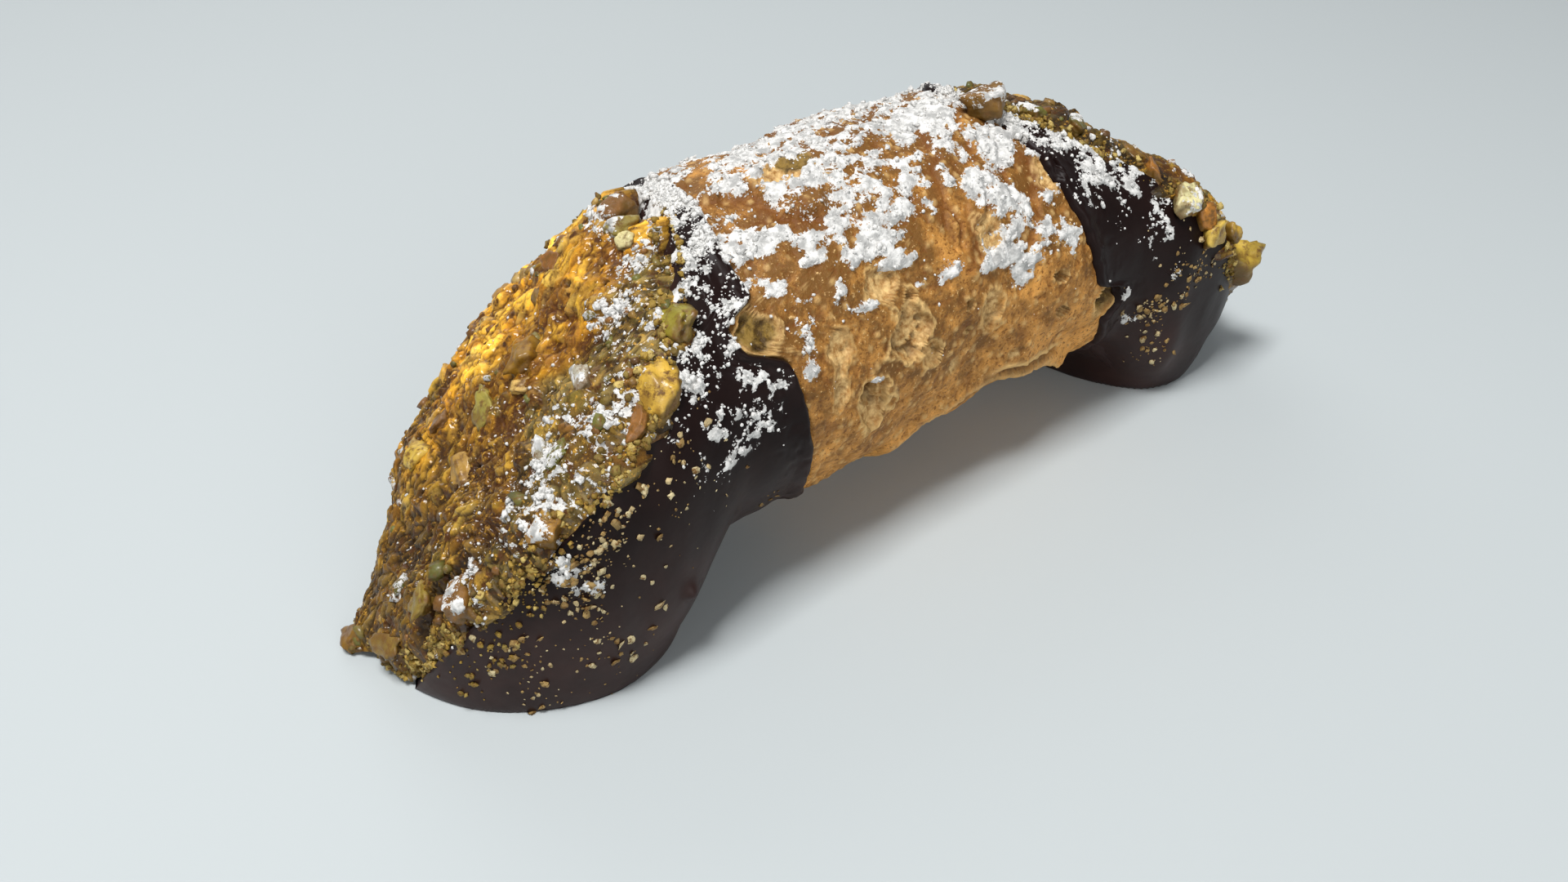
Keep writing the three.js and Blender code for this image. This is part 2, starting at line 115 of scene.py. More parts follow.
def packed(points, size, seed):
    """Grains packed side by side: 0 in the sharp valleys between neighbouring cells, about 1 on a cell,
    as the square root of the difference between the distances to the second and the nearest centre. Also
    the cell's random number."""
    near, beyond, owner = pebbles(points, size, seed)
    return np.sqrt(np.clip((beyond - near) / 0.5, 0, 1)), owner


def ranked(values):
    """Each value's place in the sorted order, from 0 to 1, so that a threshold is a share of the area."""
    flat = values.ravel()
    places = np.empty(flat.size)
    places[np.argsort(flat)] = np.linspace(0, 1, flat.size)
    return places.reshape(values.shape)


print("a noise of 1 mm repeats after", LATTICE, "mm")

# %% [markdown]
# ## The roll's own surfaces
#
# These are the surfaces of the solids, from the same measurements in millimetres: a tube with an arch
# under it, two feet, and two mouths cut on a slant. The angle goes round the tube: 0 is straight down,
# 90 degrees the front, 180 the top.

# %% Measurements of the roll
SHIFT = np.array([-2.6, 0, 0])  # the tube's middle lies here, seen from the middle of the roll's box
TUBE = Named(half=18.2, axis=22.3, arch=4.0, top=41.9, fall=3.5, span=30.0, least=12.0)
WALL = 3.0  # the dough's thickness
PROUD = 0.4  # how far the chocolate stands out from the dough
MOUTH = Named(height=21.0, radius=19.0)  # its face is read from here, in shares of this radius
FOOT = Named(drop=1.3, square=3.0)
POOL_RIM = (0.92, 1.06)  # the pool's flat underside ends between these shares of its size
LIFT_HEIGHT = 12.0  # a lifted tip fades out up to here
CREAM = Named(gap=0.5, edge=1.1, floor=0.9, inset=0.2)
LEFT = Named(
    side=-1, mean=40.9, down=17.8, forward=6.5, dish=-1.6, twist=2.2, wave=-1.4,
    foot=(26, 38), widen=1.2, sink=0.4, tip=(38.5, 60), lift=0.0,
    pool=Named(centre=43.5, length=16.5, width=19, low=3.5, high=9),
    dip=Named(start=21.5, swing=-7, curve=1.1, narrow=2.2), pillow=(3.0, 0.9), notches=[(126, 9, 4.2)],
)
RIGHT = Named(
    side=1, mean=43.0, down=18.6, forward=4.2, dish=-0.8, twist=1.6, wave=2.0,
    foot=(33, 42), widen=2.0, sink=0.4, tip=(46.3, 66), lift=3.5,
    pool=Named(centre=46, length=12, width=19.5, low=3, high=8),
    dip=Named(start=21.5, swing=12.5, curve=1.4, narrow=1.4), pillow=(5.0, 1.4), notches=[(79.5, 7, 3.0)],
)
print("tube", 2 * TUBE.half, "mm wide, mouths", LEFT.mean, "and", RIGHT.mean, "mm out")

# %% The tube, the feet and the mouths
NARROWEST = 0.985  # share of the way to the roll's tip at which it stops narrowing
STRIP = 1.6  # with an end's own narrow, the least width of chocolate at its mouth, mm
FURTHEST = 80.0  # mm out, beyond both mouths
HALVINGS = 22  # of FURTHEST, which leaves less than 0.0001 mm


def mouth_reach(end, y, z):
    """How far out the mouth's face is at (y, z): a slanted plane plus second and third order waves."""
    front = -y / MOUTH.radius
    low = (MOUTH.height - z) / MOUTH.radius
    bent = end.dish * (low**2 - front**2) + end.twist * low * front
    return (end.mean + end.down * low + end.forward * front + bent
            + end.wave * low * (low**2 - 3 * front**2))


def outward_of(end):
    """The direction that the mouth's plane faces, of length 1."""
    outward = np.array([end.side, end.forward / MOUTH.radius, end.down / MOUTH.radius])
    return outward / np.linalg.norm(outward)


def tube_point(end, out, angle, inset, feet):
    """The tube's skin at a distance out from the middle. The outline is the superellipse
    |across|^p + |upright|^p = 1, with p = 2, or more under a foot, and its axes shrink by inset."""
    foot = feet * rise(*end.foot, out)
    axis = TUBE.axis - FOOT.drop * foot
    along = np.clip((out - end.tip[0]) / (end.tip[1] - end.tip[0]), 0, NARROWEST)
    half = (TUBE.half + end.widen * foot) * np.sqrt(1 - along**2)
    above = np.maximum(TUBE.top - TUBE.fall * (out / TUBE.span) ** 2 - axis, TUBE.least)
    below = axis - TUBE.arch * (1 - foot)
    down = np.cos(angle) > 0
    power = np.where(down, 2 + FOOT.square * foot, 2)
    across = np.abs(np.sin(angle)) / (half - inset)
    upright = np.abs(np.cos(angle)) / (np.where(down, below, above) - inset)
    radius = (across**power + upright**power) ** (-1 / power)
    x = end.side * out + 0 * radius
    return np.stack([x, -radius * np.sin(angle), axis - radius * np.cos(angle)], -1)


def dough_base(x, angle, inset):
    """The plain tube at x, whichever end it is towards."""
    return np.where((x < 0)[..., None], tube_point(LEFT, np.abs(x), angle, inset, 0),
                    tube_point(RIGHT, np.abs(x), angle, inset, 0))


def dipped_point(end, out, angle, inset):
    """The chocolate's skin: the tube with its feet, whose pool is pressed flat on the ground."""
    point = tube_point(end, out, angle, inset, 1)
    from_pool = np.hypot((out - end.pool.centre) / end.pool.length, point[..., 1] / end.pool.width)
    flat = (1 - rise(end.pool.low, end.pool.high, point[..., 2])) * (1 - rise(*POOL_RIM, from_pool))
    lift = end.lift * rise(*end.tip, out) * (1 - rise(0, LIFT_HEIGHT, point[..., 2]))
    sunk = point[..., 2] * (1 - flat) - end.sink * rise(*end.foot, out)
    point[..., 2] = np.maximum(sunk, 0) + lift
    return point


def run_out(end, angle, inset, setback=0):
    """How far out the dipped skin, sunk by inset, meets the mouth's face, or stops short of it by the
    setback: halve the span again and again, and keep the half in which it crosses."""
    near, far = np.zeros_like(angle), np.full_like(angle, FURTHEST)
    for _ in range(HALVINGS):
        middle = (near + far) / 2
        point = dipped_point(end, middle, angle, inset)
        inside = middle < mouth_reach(end, point[..., 1], point[..., 2]) - setback
        near, far = np.where(inside, middle, near), np.where(inside, far, middle)
    return (near + far) / 2


def mouth_row(end, angle, inset, setback):
    """The points of the dipped skin, sunk by inset, at the mouth."""
    return dipped_point(end, run_out(end, angle, inset, setback), angle, inset)


def dip_line(end, angle):
    """How far out the chocolate starts: further out or in than its start by a power of the cosine round
    the tube, further out in a notch round a blister, and never closer to the mouth than a strip. The
    soft minimum of the two is -log(exp(-a) + exp(-b))."""
    low = (1 + np.cos(angle)) / 2
    line = end.dip.start + end.dip.swing * low**end.dip.curve
    for middle, width, depth in end.notches:
        line = line + depth * np.exp(-((np.degrees(angle) - middle) / width) ** 4)
    mouth = run_out(end, angle, 0)
    return -np.log(np.exp(-line) + np.exp(-(mouth - STRIP - end.dip.narrow)))


for end in (LEFT, RIGHT):
    print("dip line at the front and on top:", dip_line(end, np.radians([90.0, 180.0])).round(1), "mm out")

# %% [markdown]
# ## From arrays to Blender
#
# One function makes every mesh: points in millimetres of the tube's frame, faces, and one number or
# colour for each point. The numbers travel as attributes, and the materials read them by name. They
# say where sugar lies, how brown the dough is, where shade and light are painted on, and which nut is which.

# %% Grids and meshes
def grid_faces(rows, columns, loop_rows=False):
    """Four-sided faces between neighbouring points of a grid whose columns close on themselves."""
    i, j = np.meshgrid(np.arange(rows if loop_rows else rows - 1), np.arange(columns), indexing="ij")
    below, beside = (i + 1) % rows, (j + 1) % columns
    corners = [i * columns + j, i * columns + beside, below * columns + beside, below * columns + j]
    return np.stack(corners, -1).reshape(-1, 4)


def signed_volume(points, faces):
    """The sum of the tetrahedra between the origin and each face, cut into triangles."""
    total = 0.0
    for k in range(1, faces.shape[1] - 1):
        a, b, c = points[faces[:, 0]], points[faces[:, k]], points[faces[:, k + 1]]
        total += np.einsum("ij,ij->", a, np.cross(b, c)) / 6
    return total


def make_piece(name, points, faces, marks, cap=np.empty((0, 3), int)):
    """Puts points (mm) and faces into a mesh, with each of marks as a point attribute. A cap holds
    three-sided faces that close a hole."""
    points = points.reshape(-1, 3)
    mesh = bpy.data.meshes.new(name)
    mesh.from_pydata(((points + SHIFT) / 1000).tolist(), [], faces.tolist() + cap.tolist())
    for mark, values in marks.items():
        if np.shape(values)[-1:] == (3,):
            layer = mesh.attributes.new(mark, "FLOAT_COLOR", "POINT")
            opaque = np.concatenate([values.reshape(-1, 3), np.ones((values.size // 3, 1))], 1)
            layer.data.foreach_set("color", opaque.astype(np.float32).ravel())
        else:
            layer = mesh.attributes.new(mark, "FLOAT", "POINT")
            layer.data.foreach_set("value", np.ravel(values).astype(np.float32))
    mesh.shade_smooth()
    volume = signed_volume(points, faces) + signed_volume(points, cap)
    if volume < 0:
        mesh.flip_normals()
    piece = bpy.data.objects.new(name, mesh)
    bpy.context.scene.collection.objects.link(piece)
    print(f"{name}: {len(points)} points, {abs(volume) / 1000:.1f} cm3")
    return piece


def skin_of(piece, count=None):
    """A piece's first points (mm, tube's frame), or all of them, and the outward direction at each."""
    total = len(piece.data.vertices)
    points, normals = np.empty(total * 3), np.empty(total * 3)
    piece.data.vertices.foreach_get("co", points)
    piece.data.vertex_normals.foreach_get("vector", normals)
    return points.reshape(-1, 3)[:count] * 1000 - SHIFT, normals.reshape(-1, 3)[:count]


def angle_round(points):
    """The angle of points round the tube, in degrees."""
    return np.degrees(np.arctan2(-points[:, 1], TUBE.axis - points[:, 2]))


print("faces of a tube of 3 rows of 8 points:", len(grid_faces(3, 8)))

# %% [markdown]
# ## The fried dough
#
# The shell is a disc of thin dough, rolled round a tube and fried. Steam lifts blisters, some of which
# burst and show a pale crumbly inside. A photo texture would be quick, but it would be flat at a close
# look. So the skin is a fine grid over the tube, pushed out and in by its own relief: long waves, the
# flap of the disc's outer edge, creases, burst blisters, and fine pits.

# %% What the dough shows, in mm along the tube and degrees round it
WAVES = [(0.28, 0.16, 3, 0.4), (0.24, 0.31, -4, 2.1), (0.16, 0.52, 7, 4.0)]  # height, along, around, phase
FLAP = Named(middle=11.0, half=17.0, angle=40.0, swell=26.0, rise=1.3)
BLISTERS = [  # at, angle, length, height, depth
    (-3.6, 105, 5.6, 8.4, 1.1), (-1.0, 94, 3.6, 4.6, 1.4), (-9.0, 84, 4.8, 7.2, 1.3),
    (8.3, 100, 3.2, 5.0, 0.7), (18.8, 101, 2.2, 1.5, 1.3), (19.8, 86, 1.8, 2.2, 0.6),
    (28.6, 79.5, 4.0, 4.2, 1.1), (-22.0, 126, 4.8, 4.8, 0.8), (4.6, 106, 1.1, 1.3, 0.8),
    (4.7, 96, 1.2, 1.0, 0.8), (-13.3, 111, 3.2, 4.6, 0.5), (-14.1, 97, 2.6, 4.4, 0.5),
    (-6.2, 124, 5.6, 4.0, 0.7), (9.2, 124, 4.2, 6.0, 0.6), (-9.5, 171, 6.5, 4.0, 0.6),
    (22.0, 137, 3.6, 4.8, 0.6), (3.1, 83, 2.2, 2.4, 0.3), (12.6, 76, 1.6, 1.6, 0.3),
    (-2.0, -122, 4.6, 5.6, 0.9), (9.0, -104, 3.8, 4.4, 0.8), (-12.0, -94, 4.6, 5.2, 0.9),
    (16.0, -130, 3.0, 3.6, 0.7), (2.0, -80, 2.6, 3.0, 0.6), (22.0, -96, 3.4, 4.0, 0.8),
    (-6.5, -70, 3.2, 2.8, 0.6), (14.5, -72, 2.2, 2.6, 0.6), (-16.0, -140, 2.6, 3.4, 0.5),
]
HOLES = [  # at, angle, length, height
    (-9.3, 88.5, 2.6, 2.2), (18.8, 101, 2.0, 1.2), (4.6, 106, 0.9, 1.0), (4.7, 96, 1.0, 0.8),
    (-12.4, -92, 2.0, 1.4), (19.8, 86.5, 1.4, 1.2),
]
WINDOWS = [(-22.0, 126, 2.1), (28.8, 79.5, 1.8), (-7.3, 174, 2.0), (-9.0, -150, 1.8)]  # at, angle, radius
SLIT = [(8.0, 66.5), (12, 68.6), (16, 67.6), (20, 64.0), (23.5, 60)]  # between the flap and the turn below
CREASES = [  # a line of (at, angle) points, depth
    ([(16.7, 182), (14, 158), (11.6, 138), (7.2, 122)], 0.4),
    ([(20, 172), (17, 150), (15.2, 134), (16, 124)], 0.3), ([(0, 150), (5, 138), (6, 122)], 0.35),
    ([(-18, 158), (-11, 153), (-5, 142)], 0.35), ([(12, -175), (8, -150), (4, -128)], 0.6),
    ([(-10, -172), (-12, -150), (-9, -128)], 0.5), ([(18, -150), (21, -128), (20, -108)], 0.5),
]
# A fold is a line of (at, angle) points, its height and its width: the skin steps up on the line's right
# by the height, and sinks back over the width.
FOLDS = [
    ([(4.3, 128), (6.7, 149), (11.3, 172)], 0.45, 4.0), ([(4.6, 115), (6.4, 121), (8.8, 139)], 0.5, 1.6),
    ([(14.7, 112), (16.8, 118), (20.1, 134), (20.9, 152)], 0.5, 4.0),
    ([(-8.5, 150), (-11.7, 155), (-13.8, 169), (-20, 181)], 0.9, 5.0),
    ([(-4, -160), (2, -140), (10, -136)], 0.8, 4.0), ([(-14, -100), (-4, -112), (8, -106)], 0.7, 4.0),
]
MM_PER_DEGREE = 0.33  # of skin, round the tube
print(len(BLISTERS), "blisters,", len(HOLES), "holes,", len(CREASES), "creases,", len(FOLDS), "folds")


# %% Distances on the skin
def wrapped(angle, middle):
    """The signed angle from middle, in degrees, from -180 to 180."""
    return (angle - middle + 180) % 360 - 180


def from_middle(x, angle, at, middle, length, tall, around=MM_PER_DEGREE):
    """The distance from the middle of an ellipse on the skin, as a share of the way to its edge."""
    return np.hypot((x - at) / (length / 2), wrapped(angle, middle) * around / (tall / 2))


def line_distance(x, angle, line):
    """The distance in mm along the skin to a line of points, positive on its right, and how far along it
    the nearest place is, from 0 to 1."""
    best, place, right = np.full(x.shape, 1e9), np.zeros(x.shape), np.ones(x.shape)
    for k, ((x0, a0), (x1, a1)) in enumerate(zip(line, line[1:])):
        px, py = x - x0, wrapped(angle, a0) * MM_PER_DEGREE
        dx, dy = x1 - x0, (a1 - a0) * MM_PER_DEGREE
        t = np.clip((px * dx + py * dy) / (dx * dx + dy * dy), 0, 1)
        distance = np.hypot(px - t * dx, py - t * dy)
        nearer = distance < best
        place = np.where(nearer, (k + t) / (len(line) - 1), place)
        right = np.where(nearer, np.sign(px * dy - py * dx), right)
        best = np.minimum(best, distance)
    return best * right, place


print("half way round the tube:", 180 * MM_PER_DEGREE, "mm")


# %% The dough's relief, one feature at a time
def raise_marks(skin, **marks):
    """Each mark becomes the larger of what it was and what is given."""
    for mark, value in marks.items():
        setattr(skin, mark, np.maximum(getattr(skin, mark), value))


def roll_up(skin, x, angle, point):
    """Long waves, soft noise, and the flap: its edge is a lens on the skin, with brown painted shade just
    below it and a pale painted highlight along it.
    """
    radian = np.radians(angle)
    skin.height = sum(h * np.sin(k * x + n * radian + phase) for h, k, n, phase in WAVES)
    skin.height = skin.height + 0.32 * clouds(point, 8, 11, 2) + 0.13 * clouds(point, 1.8, 12, 2)
    lens = 1 - ((x - FLAP.middle) / FLAP.half) ** 2
    below = wrapped(angle, FLAP.angle + FLAP.swell * lens)
    ends = rise(0, 0.3, lens)
    skin.height = skin.height + FLAP.rise * ends * rise(-1.2, 0, below) * (1 - rise(0, 20, below)) ** 2
    # The brown band just below the flap's edge is painted shade, and the pale band on the edge is a painted
    # highlight.
    raise_marks(skin, brown=0.9 * ends * bump(below + 2.2, 1.6), pale=0.6 * ends * bump(below - 0.6, 1.2))


def burst_blisters(skin, x, angle, point, ragged):
    """Bowls of crumb with cracks in them, painted dark as shade, and a pale raised rim, and holes that go
    deeper, painted dark as shade.
    """
    crumb_near, crumb_next, _ = pebbles(point, 0.8, 13)
    cracks = rise(0.25, 0.55, clouds(point, 0.9, 17, 2))
    for *ellipse, depth in BLISTERS:
        across = from_middle(x, angle, *ellipse)
        close = across < 1.8
        torn = np.where(close, ragged, 0)
        full = min(depth, 1)
        bowl = 1 - rise(0.80, 0.94, across + torn)
        rim = bump(across + 1.5 * torn - 1.02, 0.09) * close
        dip = 0.9 * depth * bowl * (0.6 + 0.4 * (1 - rise(0, 0.8, across + torn)))
        skin.height = skin.height - dip + 0.18 * rim * full
        skin.height = skin.height + bowl * full * (0.5 * (crumb_next - crumb_near - 0.45) - 0.55 * cracks)
        # The hole mark in the cracks is painted shade.
        raise_marks(skin, crumb=bowl, pale=rim * full, hole=0.55 * bowl * cracks * full)
    for ellipse in HOLES:
        pit = 1 - rise(0.7, 1.0, from_middle(x, angle, *ellipse) + 1.3 * ragged)
        skin.height = skin.height - 1.8 * pit
        # The hole mark in a hole is painted shade.
        raise_marks(skin, hole=pit)


def split_and_fold(skin, x, angle, wobble):
    """The slit under the flap, painted dark as shadow between pale painted highlights, creases with one
    raised side and brown painted shade in them, and folds whose bare low side has brown painted shade.
    """
    distance, place = line_distance(x, angle, SLIT)
    along = rise(0, 0.3, place) * (1 - rise(0.85, 1, place))
    distance = distance + 0.15 * wobble
    slit = bump(distance, 0.48) * along
    skin.height = skin.height - 0.9 * slit
    # The slit's hole mark is a painted shadow, and the pale bands beside it are painted highlights.
    raise_marks(skin, hole=0.75 * slit,
                pale=(bump(distance + 0.9, 0.35) + 0.5 * bump(distance - 1.3, 0.7)) * along)
    for line, depth in CREASES:
        distance, place = line_distance(x, angle, line)
        distance = distance + wobble
        valley = bump(distance, 0.42) * (rise(0, 0.2, place) * (1 - rise(0.8, 1, place)) + 0.1)
        skin.height = skin.height - depth * valley + 0.5 * depth * bump(distance - 0.9, 0.5) * (valley > 0)
        # The brown mark in a crease is painted shade.
        raise_marks(skin, brown=0.65 * valley)
    for line, tall, width in FOLDS:
        distance, place = line_distance(x, angle, line)
        distance = distance + wobble
        fade = rise(0, 0.12, place) * (1 - rise(0.88, 1, place))
        step = rise(-0.4, 0.3, distance) * np.exp(-np.maximum(distance, 0) / width)
        skin.height = skin.height + tall * fade * step
        # The brown mark at a fold's low side is painted shade.
        raise_marks(skin, brown=0.65 * bump(distance + 0.6, 0.6) * fade,
                    bare=bump(distance + 0.8, 0.9) * fade)
    # The bare low side of a fold is given brown painted shade too.
    raise_marks(skin, brown=0.4 * skin.bare)


def fine_skin(skin, x, angle, point, ragged):
    """Pits, painted brown as shade, and small bubbles all over, and the places where the skin is thin and
    glassy.
    """
    pits = rise(0.25, 0.6, clouds(point, 0.9, 16)) * (1 - skin.crumb)
    bubbles = 1 - rise(0.12, 0.34, pebbles(point, 1.5, 18)[0])
    skin.height = skin.height - 0.16 * pits + 0.12 * bubbles
    # The brown mark in the pits is painted shade.
    raise_marks(skin, pale=0.55 * bubbles, brown=0.35 * pits)
    for at, middle, radius in WINDOWS:
        across = from_middle(x, angle, at, middle, 2 * radius, 2 * radius)
        raise_marks(skin, amber=1 - rise(0.8, 1.1, across + ragged))


def dough_relief(x, angle, point):
    """The skin's height over the plain tube in mm, and marks from 0 to 1: crumb inside a burst blister,
    pale rims and pale painted highlights, painted shade in holes, cracks and the slit, brown painted
    shade, amber glassy windows, and what stays bare of sugar."""
    zero = np.zeros(x.shape)
    skin = Named(height=zero, crumb=zero, pale=zero, hole=zero, brown=zero, amber=zero, bare=zero)
    ragged = 0.26 * clouds(point, 1.5, 14, 3)
    roll_up(skin, x, angle, point)
    burst_blisters(skin, x, angle, point, ragged)
    split_and_fold(skin, x, angle, 0.8 * clouds(point, 2.6, 15, 3))
    fine_skin(skin, x, angle, point, ragged)
    return skin


print("features:", ", ".join(f.__name__ for f in (roll_up, burst_blisters, split_and_fold, fine_skin)))

# %% [markdown]
# ## Where the icing sugar lies
#
# Sieved sugar lands on what faces up, clumps as it meets the oily dough, and slides off the steep sides.
# It could be a particle system, but a roll has a million grains. Here a share of the skin is covered,
# from the patches that are named below and a general dusting near the top. Noise then decides which
# points are covered, and the covered skin is raised by the clumps' own height.

# %% Patches of sugar on the dough: at, angle, length, height in mm, how well covered
DOUGH_SUGAR = [
    (-3.1, -167, 22, 7.0, 0.95), (-12.5, -179, 9, 5.0, 0.9), (-10, 167, 9.5, 4.6, 1.0),
    (-6.4, 153, 13, 6.0, 0.92), (9.9, 174, 12, 5.5, 0.95), (3.8, 151, 6, 3.0, 0.95),
    (-16.8, 165, 8.5, 2.8, 0.95), (-16.2, 152, 7.5, 3.4, 0.95), (-10.4, 147, 5, 3.6, 0.95),
    (-6.0, 136.6, 8.6, 2.4, 0.95), (-3.6, 129, 5, 2.6, 0.85), (1.6, 119.5, 5.4, 2.0, 1.0),
    (10.8, 140, 5.0, 5.0, 0.95), (13.6, 133, 7.0, 5.6, 0.97), (11.0, 123, 4.6, 4.6, 0.95),
    (10.8, 117, 6, 2.4, 0.9), (11, 156, 5, 5, 0.8), (6.6, 150, 3, 4, 0.8), (15.7, 162, 4, 4, 0.9),
    (21, 133, 3, 4.6, 0.8), (21.2, 113.5, 4.6, 3.2, 0.9), (17.2, 121, 2.6, 2.6, 0.9),
    (16, 149, 6, 3.4, 0.85), (18.2, 158, 5, 4.4, 0.85), (-12.9, 139, 3.4, 1.8, 0.95),
    (-17.8, 137, 3.8, 2.6, 0.75), (-16.2, 128, 3, 4, 0.5), (-17.7, 113.5, 2.2, 5.6, 0.95),
    (-8.6, 119.5, 4.2, 1.4, 0.95), (-11.5, 126, 1.8, 3.4, 0.75), (0, 178, 46, 7, 0.5),
    (4, -160, 44, 10, 0.55), (2, -146, 34, 5, 0.4), (13, 165, 10, 3, 0.6), (-1, 143, 9, 3, 0.5),
    (22, 148, 3, 6, 0.6), (-20, 150, 4, 8, 0.6), (-13.8, 104, 1.2, 1.2, 0.8), (-9.0, 93.5, 2.0, 0.8, 0.6),
    (-15.4, 101, 1.2, 2, 0.5), (4.5, 158, 8, 3, 0.6), (13.3, 108, 3.4, 2.8, 0.95), (15.4, 114, 4, 3, 0.6),
    (-6.5, 164, 14, 5, 0.9), (-9.5, 176, 12, 5, 0.9),
]


def covered(x, angle, patches, around=MM_PER_DEGREE):
    """The share of the skin that is covered: the largest of the patches, each an ellipse with a soft and
    ragged edge. Around is the mm of skin in one degree."""
    cover = np.zeros(x.shape)
    flat = np.stack([x, wrapped(angle, 180) * around, 0 * x], -1)
    ragged = 0.42 * clouds(flat, 1.5, 30, 3)
    for *ellipse, share in patches:
        across = from_middle(x, angle, *ellipse, around) + ragged
        cover = np.maximum(cover, share * (1 - rise(0.45, 1.55, across)))
    return cover


def sugar_layer(point, cover, seed, grain=1.0):
    """The sugar's level and its thickness in mm. Ranked noise of three sizes, less the share that stays
    bare, is the level: above 0 there is sugar, and it is thicker further from the patch's edge."""
    noise = (0.7 * clouds(point, 2.8 * grain, seed) + 0.9 * clouds(point, 1.3 * grain, seed + 1)
             + 1.1 * clouds(point, 0.7 * grain, seed + 2))
    level = ranked(noise) - (1 - cover) - 0.6 * (1 - rise(0, 0.12, cover))
    near, _, _ = pebbles(point, 0.8, seed + 3)
    lumpy = 0.14 + 0.26 * (1 - np.clip(near, 0, 1)) + 0.08 * clouds(point, 0.5, seed + 4)
    return level, rise(-0.02, 0.14, level) * lumpy * (0.5 + 0.8 * rise(0, 0.6, level))


print(len(DOUGH_SUGAR), "patches of sugar on the dough")

# %% Build the dough tube
DOUGH_GRID = Named(along=250, around=380, bore=3)
TUCKED = 1.6  # how far the skin goes on under the chocolate, mm


def dough_tube():
    """Rows of skin from one dip line to the other, and rows of the bore back again. Under the chocolate
    the skin is sunk, and its relief fades."""
    angles = np.linspace(0, 2 * np.pi, DOUGH_GRID.around, endpoint=False)
    dip_left, dip_right = dip_line(LEFT, angles), dip_line(RIGHT, angles)
    share = np.linspace(0, 1, DOUGH_GRID.along)[:, None]
    x = -(dip_left + TUCKED) + (dip_left + dip_right + 2 * TUCKED) * share
    turn = np.broadcast_to(angles, x.shape)
    base = dough_base(x, turn, 0)
    z = base[..., 2]
    relief = dough_relief(x, np.degrees(turn), base)
    # The dough's tone: random clouds, darker higher up, and darker still on top at the right.
    dough_tone = (0.42 + 0.24 * clouds(base, 11, 18, 3) + 0.14 * clouds(base, 2.6, 19, 2) + 0.34 * rise(10, 27, z)
           + 0.16 * rise(27, 37, z) - 0.04 * rise(2, 24, x) + 0.10 * rise(5, 12, x) * rise(27, 33, z))
    bared = ((1 - 0.7 * relief.crumb) * (1 - 0.9 * relief.bare)
             * (1 - 0.10 * rise(-8, -16, x) + 0.20 * rise(4, 10, x)))
    cover = covered(x, np.degrees(turn), DOUGH_SUGAR) * (0.87 + 0.09 * rise(33, 38, z)) * bared
    level, sugar = sugar_layer(base * [0.6, 1, 1], cover, 31)
    tuck = np.maximum(rise(-0.2, 0.9, -x - dip_left), rise(-0.2, 0.9, x - dip_right))
    sunk = 0.75 * tuck - (1 - tuck) * (relief.height + sugar) - tuck * 0.3 * relief.height
    bore = [dough_base(x[-1:] + (x[:1] - x[-1:]) * t, turn[:1], WALL)
            for t in np.linspace(0, 1, DOUGH_GRID.bore)]
    points = np.concatenate([dough_base(x, turn, sunk), *bore])
    extra = ((0, DOUGH_GRID.bore), (0, 0))
    marks = {"sugar": np.pad(level, extra, constant_values=-1), "dough_tone": np.pad(dough_tone, extra)}
    for mark in ("crumb", "pale", "hole", "brown", "amber"):
        marks[mark] = np.pad(getattr(relief, mark), extra)
    print("dough: relief", relief.height.min().round(2), "to", relief.height.max().round(2),
          "mm; covered by sugar", round(float((level > 0).mean()), 2))
    return make_piece("dough_tube", points, grid_faces(*points.shape[:2], loop_rows=True), marks)


dough = dough_tube()

# %% [markdown]
# ## The chocolate
#
# Tempered chocolate sets with a satin skin, follows the dough under it for a few millimetres, and ends
# in a rounded bead with small teeth where it ran into the dough's pits. It stands on a foot where it
# pooled. The sheet is one closed surface: out over the dip, round the lip at the mouth, and back inside.

